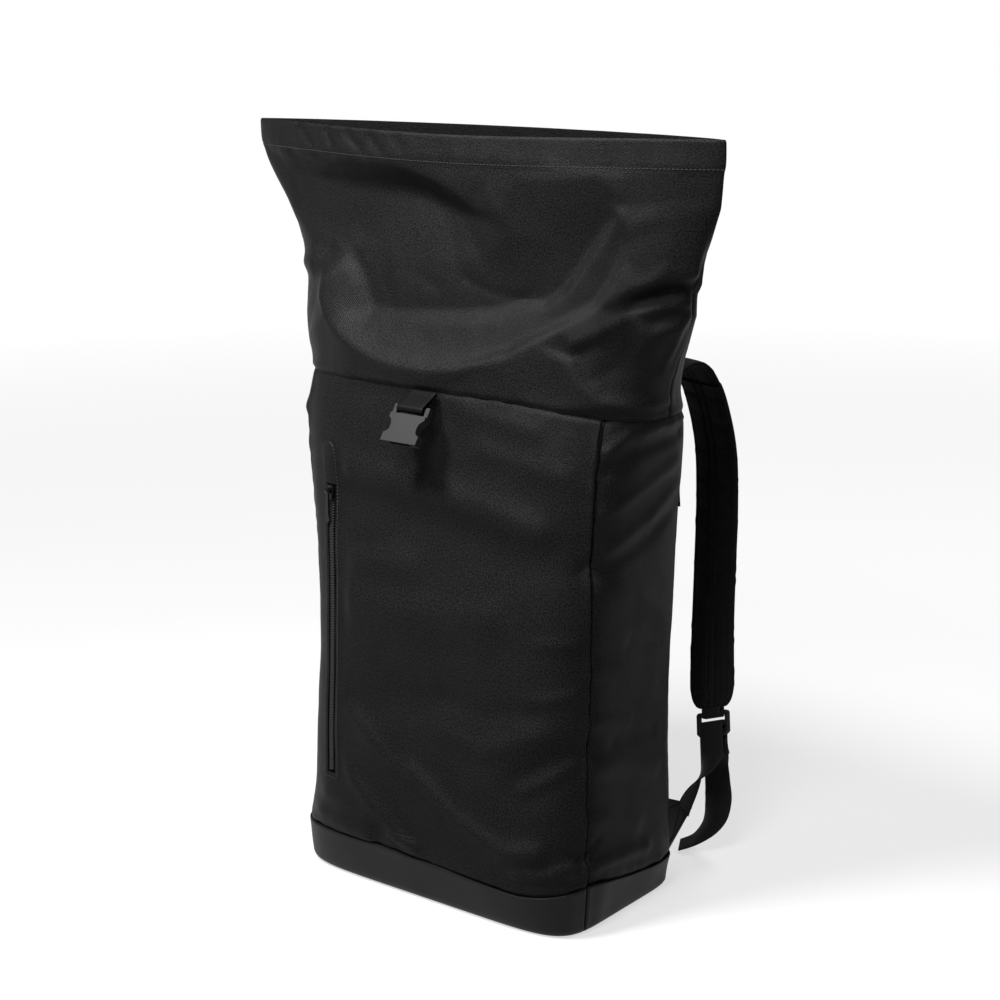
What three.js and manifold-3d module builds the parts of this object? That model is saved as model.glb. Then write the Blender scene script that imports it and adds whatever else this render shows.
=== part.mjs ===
import * as THREE from 'three';
import { mergeVertices } from 'three/addons/utils/BufferGeometryUtils.js';
import Module from 'manifold-3d';

const wasm = await Module();
wasm.setup();

// Cloth and padding, mm
const clothThick = 2;
const bootThick = 3;
const backThick = 6;
const seamGap = 0.3;
const hemHeight = 25;
const hemExtra = 0.7;

// Heights of the boot edge, the collar seam and the mouth
const bootFront = 44;
const bootRear = 35;
const seamFront = 458;
const seamRight = 444;
const seamLeft = 455;
const seamRear = 452;
const mouthEnd = 673;
const mouthDip = 3;

// Webbing and straps
const webWidth = 28;
const webThick = 1.5;
const padWidth = 52;
const padThick = 9;
const yokeThick = 6.5;

// Front zip, as distances along the girth from the front centre line
const zipGirthLow = -105;
const zipGirthHigh = -117;
const zipSlot = 11;
const zipLow = 100;
const zipHigh = 396;
const sliderZ = 354;
const tapeWidth = 22;
const tapeThick = 0.8;
const chainWidth = 6;
const chainThick = 1.5;
const pullLength = 30;
const pinOut = 5;
const pinRadius = 0.9;
const pinUp = 2;

// Front buckle half
const buckleX = -4;
const buckleReach = 19;
const buckleDrop = 13;
const buckleTilt = 34;
const buckleThick = 8;
const barRadius = 1.7;
const loopGap = 0.3;

// Half outline of the buckle plate below its bar
// Columns: half, down
const buckleRows = [
  [19, 6.5],
  [19, 10],
  [17.7, 11.4],
  [16.0, 12.8],
  [14.8, 14.6],
  [14.2, 17],
  [14.2, 20],
  [14.8, 22],
  [16.4, 23.8],
  [19, 25],
  [19, 32.5],
];
const socketHalf = 11;
const socketDeep = 4.2;
const socketStart = 12;

// Ladder lock bars and slots, down from its top edge
const lockWidth = 38;
const lockThick = 4;
const lockLength = 23;
const lockSlots = [
  { from: 4, to: 10.5 },
  { from: 14, to: 19 },
];
const tabWidth = 22;

// Free end of the right adjuster webbing below the lock
const tailRows = [
  [149, 145, 94, -6],
  [150, 147, 74, -2],
  [151, 148, 56, 4],
  [148, 149, 38, -8],
  [139, 147, 20, -38],
  [128, 142, 8, -58],
  [117, 136, 2.2, -64],
];

// Outline of the anchor tab: distance out from the corner seam, height
const anchorRows = [
  [1.9, 77],
  [1.9, 25],
  [50, 51],
  [24, 67],
];
const anchorThick = 3;

// Closure strap at the middle of the back and the pull at the right rear edge
const closureTop = 446;
const closureLow = 300;
const sidePullTop = 394;
const sidePullLow = 352;

// Horizontal sections of the bag from the floor to the mouth, mm
// midX is the middle's sideways lean, halfWidth the middle to the side, endY the depth of the widest point,
// front and back the reach either side of it, squareX and squareY the squareness,
// cornerFront and cornerBack the corner seams as shares of the half girth
const sectionNames = ['z', 'midX', 'halfWidth', 'endY', 'front', 'back', 'squareX', 'squareY',
  'cornerFront', 'cornerBack'];
const sectionRows = [
  [0, 1, 149, 0, 97, 72, 7, 7, 0.37, 0.69],
  [2, 1, 152, 0, 100, 75, 7, 7, 0.37, 0.69],
  [7, 1, 154, 0, 103, 77, 6.5, 6.5, 0.37, 0.69],
  [44, 3, 158, 0, 113, 82, 5, 5, 0.37, 0.69],
  [80, 5, 155, 0, 115, 84, 4.6, 4.6, 0.37, 0.69],
  [140, 5, 154, 0, 113, 85, 4.4, 4.4, 0.37, 0.69],
  [200, 5, 154, 0, 108, 85, 4.3, 4.3, 0.37, 0.69],
  [280, 4, 158, 0, 101, 85, 4.2, 4.2, 0.363, 0.69],
  [360, 1, 167, 0, 95, 84, 3.9, 3.9, 0.356, 0.69],
  [420, -1, 180, -1, 90, 82, 3.3, 3.1, 0.356, 0.7],
  [458, 1, 186, -4, 82, 78, 2.8, 2.4, 0.366, 0.72],
  [490, 3, 198, -6, 78, 70, 2.5, 2, 0.4, 0.75],
  [540, 6, 210, -11, 68, 58, 2.3, 1.7, 0.45, 0.8],
  [600, 3, 230, -17, 54, 46, 2.1, 1.5, 0.5, 0.8],
  [650, -2, 249, -21, 46, 41, 2, 1.3, 0.5, 0.8],
  [680, -3, 253, -22, 44, 40, 2, 1.3, 0.5, 0.8],
];

// Dents, ridges and facets of the cloth: start and end as girth distance and height,
// then half width, height, form
// form 0 is a soft roll, form 1 a straight-sided ridge or crease
// Columns: w0, z0, w1, z1, wide, high, form
const foldRows = [
  [-131, 572, -144, 522, 24, 6, 0.7],
  [-144, 522, -109, 492, 22, 5, 0.6],
  [-109, 492, -66, 478, 20, 3, 0.4],
  [-128, 566, -94, 520, 18, -4, 0.3],
  [-178, 540, -176, 505, 24, -4, 0],
  [-206, 570, -162, 556, 13, -4, 0.4],
  [-200, 636, -60, 632, 24, -6, 0],
  [-58, 642, -12, 622, 16, -5, 0.7],
  [-12, 622, 24, 609, 14, -4, 0.7],
  [-80, 618, 16, 594, 24, 4, 0],
  [164, 612, 139, 584, 22, 6, 0.7],
  [139, 584, 118, 552, 24, 6, 0.6],
  [118, 552, 66, 521, 26, 5, 0.4],
  [170, 600, 157, 554, 18, 3, 0.6],
  [157, 554, 102, 518, 20, 3, 0.5],
  [110, 612, 50, 562, 38, -6, 0],
  [176, 614, 236, 616, 14, -3, 0.6],
  [168, 541, 217, 558, 15, -6, 0.4],
  [212, 544, 232, 548, 14, 4, 0],
  [190, 530, 206, 538, 14, -4, 0.3],
  [118, 503, 142, 498, 18, -4, 0],
  [134, 488, 158, 466, 15, 4, 0.4],
  [-100, 510, 40, 518, 28, 5, 0],
  [163, 404, 184, 433, 18, -5, 0.4],
  [184, 433, 262, 443, 18, -5, 0.3],
  [170, 356, 272, 392, 26, -3, 0],
  [176, 322, 280, 372, 26, 2, 0],
  [-100, 356, 36, 340, 34, -3, 0],
  [36, 340, 150, 326, 34, -3, 0],
  [109, 134, 156, 162, 26, -3, 0.2],
  [-108, 80, -62, 74, 18, 3, 0.3],
];

// Right shoulder strap centre line, with the heading of its width
// Columns: x, y, z, yaw in degrees
const strapRows = [
  [110, 52, 440, 0],
  [111, 88, 459, -4],
  [113, 113, 468, -8],
  [116, 132, 464, -11],
  [119, 149, 446, -14],
  [121, 164, 415, -14],
  [123, 173, 380, -14],
  [124, 176, 330, -14],
  [124, 175, 260, -14],
  [129, 166, 205, -14],
  [139, 151, 165, -14],
  [146, 142, 144, -14],
];
const yokeShare = 0.36;

const blackCloth = new THREE.MeshStandardMaterial({ color: 0x1c1c1d, roughness: 0.8, metalness: 0 });
const padCloth = new THREE.MeshStandardMaterial({ color: 0x141415, roughness: 0.9, metalness: 0 });
const coatedCloth = new THREE.MeshStandardMaterial({ color: 0x232324, roughness: 0.55, metalness: 0 });
const blackWeb = new THREE.MeshStandardMaterial({ color: 0x171718, roughness: 0.85, metalness: 0 });
const zipBlack = new THREE.MeshStandardMaterial({ color: 0x101011, roughness: 0.6, metalness: 0 });
const zipMetal = new THREE.MeshStandardMaterial({ color: 0x151516, roughness: 0.45, metalness: 0.6 });
const greyPlastic = new THREE.MeshStandardMaterial({ color: 0x4a4b4d, roughness: 0.5, metalness: 0 });
const blackPlastic = new THREE.MeshStandardMaterial({ color: 0x1a1a1b, roughness: 0.45, metalness: 0 });

const bag = new THREE.Group();
bag.name = 'roll_top_backpack';

function addPiece(name, geometry, material) {
  const mesh = new THREE.Mesh(geometry, material);
  mesh.name = name;
  bag.add(mesh);
  return mesh;
}

function lerp(a, b, t) {
  return a + (b - a) * t;
}

function ease(low, high, v) {
  const t = Math.min(1, Math.max(0, (v - low) / (high - low)));
  return t * t * (3 - 2 * t);
}

// Smooth reading of a table of rows by its first column
function readRow(rows, names, at) {
  let k = 0;
  while (k < rows.length - 2 && at > rows[k + 1][0]) {
    k += 1;
  }
  const p = rows[Math.max(0, k - 1)];
  const a = rows[k];
  const b = rows[k + 1];
  const q = rows[Math.min(rows.length - 1, k + 2)];
  const span = b[0] - a[0];
  const t = Math.min(1, Math.max(0, (at - a[0]) / span));
  const out = {};
  names.forEach((name, i) => {
    const slopeA = k === 0 ? (b[i] - a[i]) / span : (b[i] - p[i]) / (b[0] - p[0]);
    const slopeB = k === rows.length - 2 ? (b[i] - a[i]) / span : (q[i] - a[i]) / (q[0] - a[0]);
    const t2 = t * t;
    const t3 = t2 * t;
    out[name] = (2 * t3 - 3 * t2 + 1) * a[i] + (t3 - 2 * t2 + t) * span * slopeA
      + (3 * t2 - 2 * t3) * b[i] + (t3 - t2) * span * slopeB;
  });
  return out;
}

// Right half of the outline at one height, from the front centre to the back centre, with running lengths
const outlineSteps = 120;
const outlineStore = new Map();
function outline(z) {
  const key = Math.round(z * 1000);
  if (outlineStore.has(key)) {
    return outlineStore.get(key);
  }
  const s = readRow(sectionRows, sectionNames, z);
  const xs = [];
  const ys = [];
  const run = [0];
  for (let i = 0; i <= 2 * outlineSteps; i += 1) {
    const t = (i / outlineSteps) * Math.PI / 2;
    const x = s.halfWidth * Math.pow(Math.abs(Math.sin(t)), 2 / s.squareX);
    const c = Math.pow(Math.abs(Math.cos(t)), 2 / s.squareY);
    xs.push(i === 0 || i === 2 * outlineSteps ? 0 : x);
    ys.push(s.endY + (i < outlineSteps ? -s.front * c : s.back * c));
    if (i > 0) {
      run.push(run[i - 1] + Math.hypot(xs[i] - xs[i - 1], ys[i] - ys[i - 1]));
    }
  }
  const half = run[2 * outlineSteps];
  const entry = { xs, ys, run, half, midX: s.midX, cornerFront: s.cornerFront, cornerBack: s.cornerBack };
  outlineStore.set(key, entry);
  return entry;
}

// Point of the unfolded skin at a share of the half girth (0 front centre, 1 or -1 back centre) and a height
function bare(share, z) {
  let g = share;
  if (g > 1) {
    g -= 2;
  }
  if (g < -1) {
    g += 2;
  }
  const line = outline(z);
  const want = Math.abs(g) * line.half;
  let low = 0;
  let high = line.run.length - 1;
  while (high - low > 1) {
    const mid = (low + high) >> 1;
    if (line.run[mid] <= want) {
      low = mid;
    } else {
      high = mid;
    }
  }
  const t = (want - line.run[low]) / (line.run[high] - line.run[low]);
  const x = lerp(line.xs[low], line.xs[high], t);
  const y = lerp(line.ys[low], line.ys[high], t);
  return new THREE.Vector3(line.midX + (g < 0 ? -x : x), y, z);
}

function bareNormal(share, z) {
  const du = bare(share + 0.012, z).sub(bare(share - 0.012, z));
  const dv = bare(share, z + 3).sub(bare(share, z - 3));
  return du.cross(dv).normalize();
}

// Height of the folds over the unfolded skin
function relief(w, z) {
  let sum = 0;
  for (const row of foldRows) {
    const [w0, z0, w1, z1, wide, high, form] = row;
    const dw = w1 - w0;
    const dz = z1 - z0;
    const t = ((w - w0) * dw + (z - z0) * dz) / (dw * dw + dz * dz);
    const along = Math.min(1, Math.max(0, t));
    const off = Math.hypot(w - w0 - along * dw, z - z0 - along * dz) / wide;
    if (off < 2.4) {
      const soft = Math.exp(-off * off * 1.6);
      const tent = Math.max(0, 1 - off);
      sum += high * lerp(soft, tent, form);
    }
  }
  return sum;
}

function girthAt(share, z) {
  const g = share > 1 ? share - 2 : share;
  return g * outline(z).half;
}

// Outer skin point, set in or out along the skin's own facing
function skin(share, z, out) {
  const n = bareNormal(share, z);
  const lift = relief(girthAt(share, z), z) * ease(bootFront, bootFront + 30, z);
  return bare(share, z).addScaledVector(n, lift + out);
}

function bootEdge(share) {
  const a = Math.abs(share > 1 ? share - 2 : share);
  return lerp(bootFront, bootRear, ease(0.36, 0.6, a));
}

function seamEdge(share) {
  const g = share > 1 ? share - 2 : share;
  const side = g > 0 ? seamRight : seamLeft;
  const front = lerp(seamFront, side, ease(0.12, 0.5, Math.abs(g)));
  return lerp(front, seamRear, ease(0.6, 0.95, Math.abs(g)));
}

function mouthEdge(share) {
  const a = Math.abs(share > 1 ? share - 2 : share);
  return mouthEnd - mouthDip * (1 - ease(0, 0.45, a));
}

function geometryOf(points, faces) {
  const geometry = new THREE.BufferGeometry();
  const flat = [];
  points.forEach((p) => flat.push(p.x, p.y, p.z));
  geometry.setAttribute('position', new THREE.Float32BufferAttribute(flat, 3));
  geometry.setIndex(faces);
  geometry.computeVertexNormals();
  return geometry;
}

// Closed sheet between an outer and an inner grid
function sheet(cols, rows, outer, inner) {
  const points = [];
  const faces = [];
  const wide = cols + 1;
  const layer = wide * (rows + 1);
  for (const side of [outer, inner]) {
    for (let j = 0; j <= rows; j += 1) {
      for (let i = 0; i <= cols; i += 1) {
        points.push(side(i / cols, j / rows));
      }
    }
  }
  const quad = (a, b, c, d) => faces.push(a, b, c, a, c, d);
  for (let j = 0; j < rows; j += 1) {
    for (let i = 0; i < cols; i += 1) {
      const k = j * wide + i;
      quad(k, k + 1, k + wide + 1, k + wide);
      quad(layer + k, layer + k + wide, layer + k + wide + 1, layer + k + 1);
    }
  }
  for (let i = 0; i < cols; i += 1) {
    const top = rows * wide + i;
    quad(i + 1, i, layer + i, layer + i + 1);
    quad(top, top + 1, layer + top + 1, layer + top);
  }
  for (let j = 0; j < rows; j += 1) {
    const left = j * wide;
    const right = left + cols;
    quad(left, left + wide, layer + left + wide, layer + left);
    quad(right + wide, right, layer + right, layer + right + wide);
  }
  return geometryOf(points, faces);
}

// Evenly spread girth lines between two corner lines
function spread(from, to, cols) {
  return (z, i) => {
    const trim = (seamGap / 2) / outline(z).half;
    return lerp(from(z) + trim, to(z) - trim, i / cols);
  };
}

// Sheet on the skin between two edges, with its faces set out by outer and inner
function skinSheet(lineAt, cols, lowEdge, highEdge, rows, outer, inner) {
  const place = (i, v, out) => {
    let z = lerp(lowEdge(0), highEdge(0), v);
    let share = lineAt(z, i);
    for (let pass = 0; pass < 4; pass += 1) {
      z = lerp(lowEdge(share), highEdge(share), v);
      share = lineAt(z, i);
    }
    return skin(share, z, out(share, z));
  };
  const col = (u) => Math.round(u * cols);
  return sheet(cols, rows, (u, v) => place(col(u), v, outer), (u, v) => place(col(u), v, inner));
}

function panel(lineAt, cols, lowEdge, highEdge, rows, thick) {
  return skinSheet(lineAt, cols, lowEdge, highEdge, rows, () => 0, () => -thick);
}

// Loft through closed rings with flat ends
function loft(rings) {
  const points = [];
  const faces = [];
  const n = rings[0].length;
  rings.forEach((ring) => ring.forEach((p) => points.push(p)));
  for (let j = 0; j < rings.length - 1; j += 1) {
    for (let i = 0; i < n; i += 1) {
      const a = j * n + i;
      const b = j * n + ((i + 1) % n);
      faces.push(a, b, b + n, a, b + n, a + n);
    }
  }
  for (const end of [0, rings.length - 1]) {
    const middle = new THREE.Vector3();
    rings[end].forEach((p) => middle.addScaledVector(p, 1 / n));
    points.push(middle);
    for (let i = 0; i < n; i += 1) {
      const a = end * n + i;
      const b = end * n + ((i + 1) % n);
      if (end === 0) {
        faces.push(points.length - 1, b, a);
      } else {
        faces.push(points.length - 1, a, b);
      }
    }
  }
  return geometryOf(points, faces);
}

// Rows of a table as a smooth path between two shares of it, with a width heading at each step
function pathOf(rows, from, to, steps) {
  const points = rows.map((r) => new THREE.Vector3(r[0], r[1], r[2]));
  const curve = new THREE.CatmullRomCurve3(points, false, 'centripetal');
  const out = [];
  for (let i = 0; i <= steps; i += 1) {
    const t = lerp(from, to, i / steps);
    const at = t * (rows.length - 1);
    const k = Math.min(rows.length - 2, Math.floor(at));
    const yaw = THREE.MathUtils.degToRad(lerp(rows[k][3], rows[k + 1][3], at - k));
    const side = new THREE.Vector3(Math.cos(yaw), Math.sin(yaw), 0);
    out.push({ p: curve.getPoint(t), ahead: curve.getTangent(t), side });
  }
  return out;
}

// Band swept along a path: widthAt and thickAt give its size by share of the path, round rounds its edges
function band(path, widthAt, thickAt, round) {
  const rings = path.map((step, i) => {
    const t = i / (path.length - 1);
    const before = path[Math.max(0, i - 1)].p;
    const after = path[Math.min(path.length - 1, i + 1)].p;
    const ahead = step.ahead || after.clone().sub(before).normalize();
    const side = step.side.clone().addScaledVector(ahead, -step.side.dot(ahead)).normalize();
    const facing = ahead.clone().cross(side).normalize();
    const hw = widthAt(t) / 2;
    const ht = thickAt(t) / 2;
    const corners = round
      ? [[-1, 0], [-0.93, -0.62], [-0.72, -1], [0, -1.06], [0.72, -1], [0.93, -0.62],
        [1, 0], [0.93, 0.62], [0.72, 1], [0, 1.06], [-0.72, 1], [-0.93, 0.62]]
      : [[-1, -1], [1, -1], [1, 1], [-1, 1]];
    return corners.map(([a, b]) => {
      const corner = step.p.clone().addScaledVector(side, a * hw);
      return corner.addScaledVector(facing, b * ht);
    });
  });
  return loft(rings);
}

function toSolid(geometry) {
  const bareGeometry = new THREE.BufferGeometry();
  bareGeometry.setAttribute('position', geometry.getAttribute('position'));
  if (geometry.index) {
    bareGeometry.setIndex(geometry.index);
  }
  const joined = mergeVertices(bareGeometry, 1e-4);
  return new wasm.Manifold(new wasm.Mesh({
    numProp: 3,
    vertProperties: new Float32Array(joined.attributes.position.array),
    triVerts: new Uint32Array(joined.index.array),
  }));
}

function toGeometry(solid) {
  const mesh = solid.getMesh();
  const geometry = new THREE.BufferGeometry();
  geometry.setAttribute('position', new THREE.BufferAttribute(new Float32Array(mesh.vertProperties), 3));
  geometry.setIndex(new THREE.BufferAttribute(new Uint32Array(mesh.triVerts), 1));
  geometry.computeVertexNormals();
  return geometry;
}

// Box between two corners in a frame of three axes
function boxIn(frame, low, high) {
  const geometry = new THREE.BoxGeometry(high[0] - low[0], high[1] - low[1], high[2] - low[2]);
  geometry.translate((low[0] + high[0]) / 2, (low[1] + high[1]) / 2, (low[2] + high[2]) / 2);
  return geometry.applyMatrix4(frame);
}

// Flat outline given a thickness in a frame of three axes
function plateIn(frame, outlinePoints, low, high, holes = []) {
  const shape = new THREE.Shape(outlinePoints.map(([x, y]) => new THREE.Vector2(x, y)));
  for (const hole of holes) {
    shape.holes.push(new THREE.Path(hole.map(([x, y]) => new THREE.Vector2(x, y))));
  }
  const geometry = new THREE.ExtrudeGeometry(shape, { depth: high - low, bevelEnabled: false });
  geometry.translate(0, 0, low);
  return geometry.applyMatrix4(frame);
}

function frameOf(origin, xAxis, yAxis, zAxis) {
  return new THREE.Matrix4().makeBasis(xAxis, yAxis, zAxis).setPosition(origin);
}

// Body panels
const bodyLow = (share) => bootEdge(share) + seamGap;
const bodyHigh = (share) => seamEdge(share) - seamGap / 2;
const cornerF = (z) => outline(z).cornerFront;
const cornerB = (z) => outline(z).cornerBack;
const bodyRowsUp = 16;

// Front panel lines run along the zip, so that its slot and tape follow the same facets
function zipShare(z, beside) {
  const along = (z - zipLow) / (zipHigh - zipLow);
  return (lerp(zipGirthLow, zipGirthHigh, along) + beside) / outline(z).half;
}
const leftLines = 3;
const zipLines = [-tapeWidth / 2, -zipSlot / 2, zipSlot / 2, tapeWidth / 2];
const rightLines = 14;
const frontCols = leftLines + zipLines.length - 1 + rightLines;
function frontLine(z, i) {
  const trim = (seamGap / 2) / outline(z).half;
  if (i < leftLines) {
    return lerp(-cornerF(z) + trim, zipShare(z, zipLines[0]), i / leftLines);
  }
  if (i < leftLines + zipLines.length) {
    return zipShare(z, zipLines[i - leftLines]);
  }
  const k = i - leftLines - zipLines.length + 1;
  return lerp(zipShare(z, zipLines[zipLines.length - 1]), cornerF(z) - trim, k / rightLines);
}
const zipSide = (z, i) => zipShare(z, (i - 0.5) * zipSlot);
const slotCut = skinSheet(zipSide, 1, () => zipLow, () => zipHigh, bodyRowsUp, () => 5, () => -5);
const frontWhole = panel(frontLine, frontCols, bodyLow, bodyHigh, bodyRowsUp, clothThick);
addPiece('front_panel', toGeometry(toSolid(frontWhole).subtract(toSolid(slotCut))), blackCloth);

const rightLine = spread(cornerF, cornerB, 8);
addPiece('side_panel_right', panel(rightLine, 8, bodyLow, bodyHigh, bodyRowsUp, clothThick), blackCloth);
const leftLine = spread((z) => -cornerB(z), (z) => -cornerF(z), 8);
addPiece('side_panel_left', panel(leftLine, 8, bodyLow, bodyHigh, bodyRowsUp, clothThick), blackCloth);
const backLine = spread(cornerB, (z) => 2 - cornerB(z), 12);
addPiece('back_panel', panel(backLine, 12, bodyLow, bodyHigh, bodyRowsUp, backThick), padCloth);

// Collar, split at its pointed ends, its hem doubled
const collarLow = (share) => seamEdge(share) + seamGap / 2;
const collarEnd = 0.515;
const hemLift = (share, z) => {
  const hemLine = mouthEdge(share) - hemHeight;
  return hemExtra * ease(hemLine - 2, hemLine + 2, z);
};
function collarPanel(lineAt, cols, rows) {
  return skinSheet(lineAt, cols, collarLow, mouthEdge, rows, hemLift, () => -clothThick);
}
addPiece('collar_front', collarPanel(spread(() => -collarEnd, () => collarEnd, 30), 30, 20), blackCloth);
addPiece('collar_back', collarPanel(spread(() => collarEnd, () => 2 - collarEnd, 18), 18, 11), blackCloth);

// Boot: a tray with a flat underside
function bootTray() {
  const count = 44;
  const points = [];
  const faces = [];
  const levels = [
    { rise: 0, into: 0 }, { rise: 0.045, into: 0 }, { rise: 0.16, into: 0 }, { rise: 0.5, into: 0 },
    { rise: 1, into: 0 }, { rise: 1, into: 1 }, { rise: 0.5, into: 1 }, { rise: 0.16, into: 1 },
    { rise: 0.07, into: 2.2 },
  ];
  for (const level of levels) {
    for (let i = 0; i < count; i += 1) {
      const share = -1 + (2 * i) / count;
      const z = bootEdge(share) * level.rise;
      const p = bare(share, z);
      if (level.into > 0) {
        const n = bareNormal(share, Math.max(12, z)).setZ(0).normalize();
        p.addScaledVector(n, -bootThick * level.into);
      }
      points.push(p);
    }
  }
  for (let j = 0; j < levels.length - 1; j += 1) {
    for (let i = 0; i < count; i += 1) {
      const a = j * count + i;
      const b = j * count + ((i + 1) % count);
      faces.push(a, b, b + count, a, b + count, a + count);
    }
  }
  const under = points.length;
  points.push(new THREE.Vector3(0, 0, 0));
  const floor = points.length;
  const last = (levels.length - 1) * count;
  points.push(new THREE.Vector3(0, 0, bootThick));
  for (let i = 0; i < count; i += 1) {
    const b = (i + 1) % count;
    faces.push(under, b, i);
    faces.push(floor, last + i, last + b);
  }
  return geometryOf(points, faces);
}
addPiece('base_boot', bootTray(), coatedCloth);

// Front zip, set on the rows of the front panel
const tapeRowLow = 2;
const tapeRowHigh = 14;
const rowEdge = (row) => (share) => lerp(bodyLow(share), bodyHigh(share), row / bodyRowsUp);
const tapeLine = (z, i) => zipShare(z, zipLines[i]);
const tapeOut = -clothThick - 0.4;
const zipTape = skinSheet(tapeLine, zipLines.length - 1, rowEdge(tapeRowLow), rowEdge(tapeRowHigh),
  tapeRowHigh - tapeRowLow, () => tapeOut, () => tapeOut - tapeThick);
addPiece('zip_tape', zipTape, zipBlack);

function zipPoint(z, beside, out) {
  const share = zipShare(z, beside);
  const at = ((z - bodyLow(share)) / (bodyHigh(share) - bodyLow(share))) * bodyRowsUp;
  const row = Math.floor(at);
  const ends = [row, row + 1].map((k) => {
    const rowZ = rowEdge(k)(share);
    return skin(zipShare(rowZ, beside), rowZ, out);
  });
  return ends[0].lerp(ends[1], at - row);
}
const chainBase = tapeOut + 0.35;
const chainRows = 24;
const chainLow = zipLow + 4;
const chainHigh = sliderZ + 6;
const chainPlace = (base, rib) => (u, v) => {
  const lift = base + rib * (Math.round(v * chainRows) % 2);
  return zipPoint(lerp(chainLow, chainHigh, v), (u - 0.5) * chainWidth, lift);
};
const zipChain = sheet(2, chainRows, chainPlace(chainBase + chainThick, -0.3), chainPlace(chainBase, 0));
addPiece('zip_chain', zipChain, zipBlack);

const zipNormal = bareNormal(zipShare(sliderZ, 0), sliderZ).setZ(0).normalize();
const zipAcross = new THREE.Vector3(0, 0, 1).cross(zipNormal).normalize();
const zipUp = new THREE.Vector3(0, 0, 1);
const zipFrame = frameOf(zipPoint(sliderZ, 0, 0), zipAcross, zipUp, zipNormal);
const sliderOutline = [[-4.4, 2], [-3.4, 6.5], [3.4, 6.5], [4.4, 2], [3.2, -6], [-3.2, -6]].reverse();
let slider = toSolid(plateIn(zipFrame, sliderOutline, 0.15, 2.4));
for (const side of [-1, 1]) {
  const earLow = [side > 0 ? 2.3 : -3.5, pinUp - 1.6, 1.5];
  const earHigh = [side > 0 ? 3.5 : -2.3, pinUp + 1.6, pinOut + 1.5];
  const ear = boxIn(zipFrame, earLow, earHigh);
  slider = slider.add(toSolid(ear));
}
const pin = new THREE.CylinderGeometry(pinRadius, pinRadius, 6, 12).rotateZ(Math.PI / 2);
pin.translate(0, pinUp, pinOut).applyMatrix4(zipFrame);
slider = slider.add(toSolid(pin));
addPiece('zip_slider', toGeometry(slider), zipMetal);

const pullFrame = zipFrame.clone().multiply(new THREE.Matrix4().makeTranslation(0, pinUp, pinOut));
const eye = new THREE.CylinderGeometry(2.3, 2.3, 3.6, 16).rotateZ(Math.PI / 2).applyMatrix4(pullFrame);
const eyeHole = new THREE.CylinderGeometry(pinRadius + 0.3, pinRadius + 0.3, 6, 16).rotateZ(Math.PI / 2);
eyeHole.applyMatrix4(pullFrame);
const stem = boxIn(pullFrame, [-1.6, -pullLength + 7, -0.8], [1.6, -1.5, 0.8]);
const tipPoints = [[-1.6, -pullLength + 8], [-3.3, -pullLength + 4], [0, -pullLength], [3.3, -pullLength + 4],
  [1.6, -pullLength + 8]];
const tip = plateIn(pullFrame, tipPoints, -0.8, 0.8);
const pull = toSolid(eye).add(toSolid(stem)).add(toSolid(tip)).subtract(toSolid(eyeHole));
addPiece('zip_pull', toGeometry(pull), zipMetal);

// Front buckle half on its webbing loop
const seamPoint = skin(buckleX / outline(seamFront).half, seamFront, 0);
const barPoint = seamPoint.clone().add(new THREE.Vector3(0, -buckleReach, -buckleDrop));
const tilt = THREE.MathUtils.degToRad(buckleTilt);
const buckleAcross = new THREE.Vector3(1, 0, 0);
const buckleDown = new THREE.Vector3(0, -Math.sin(tilt), -Math.cos(tilt));
const buckleOut = buckleAcross.clone().cross(buckleDown).normalize();
const buckleFrame = frameOf(barPoint, buckleAcross, buckleDown, buckleOut);
const plateOutline = buckleRows.map(([half, down]) => [half, down])
  .concat(buckleRows.slice().reverse().map(([half, down]) => [-half, down]));
let socket = toSolid(plateIn(buckleFrame, plateOutline, -buckleThick / 2, buckleThick / 2));
for (const side of [-1, 1]) {
  const arm = boxIn(buckleFrame, [side > 0 ? 15 : -19, -2, -2.2], [side > 0 ? 19 : -15, 7.5, 2.2]);
  socket = socket.add(toSolid(arm));
}
const bar = new THREE.CylinderGeometry(barRadius, barRadius, 32, 16).rotateZ(Math.PI / 2);
bar.applyMatrix4(buckleFrame);
socket = socket.add(toSolid(bar));
const cavityLow = [-socketHalf, socketStart, -socketDeep / 2];
const cavity = boxIn(buckleFrame, cavityLow, [socketHalf, 40, socketDeep / 2]);
socket = socket.subtract(toSolid(cavity));
addPiece('buckle_socket', toGeometry(socket), greyPlastic);

const loopRun = Math.hypot(buckleReach, buckleDrop);
const loopAhead = new THREE.Vector3(0, -buckleReach, -buckleDrop).normalize();
const loopUp = new THREE.Vector3(1, 0, 0).cross(loopAhead).normalize();
const loopMid = barRadius + loopGap + webThick / 2;
const loopSpots = [];
for (const [along, off] of [[2.6, 1], [8, 1.2], [loopRun - 6, 2.3], [loopRun, loopMid]]) {
  loopSpots.push([along, off]);
}
for (let k = 1; k < 6; k += 1) {
  const turn = (k / 6) * Math.PI;
  loopSpots.push([loopRun + Math.sin(turn) * loopMid, Math.cos(turn) * loopMid]);
}
for (const [along, off] of [[loopRun, -loopMid], [loopRun - 6, -2.3], [8, -1.2], [2.6, -1]]) {
  loopSpots.push([along, off]);
}
const loopPath = loopSpots.map(([along, off]) => ({
  p: seamPoint.clone().addScaledVector(loopAhead, along).addScaledVector(loopUp, off),
  side: new THREE.Vector3(1, 0, 0),
}));
addPiece('buckle_webbing', band(loopPath, () => webWidth, () => webThick, false), blackWeb);

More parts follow.
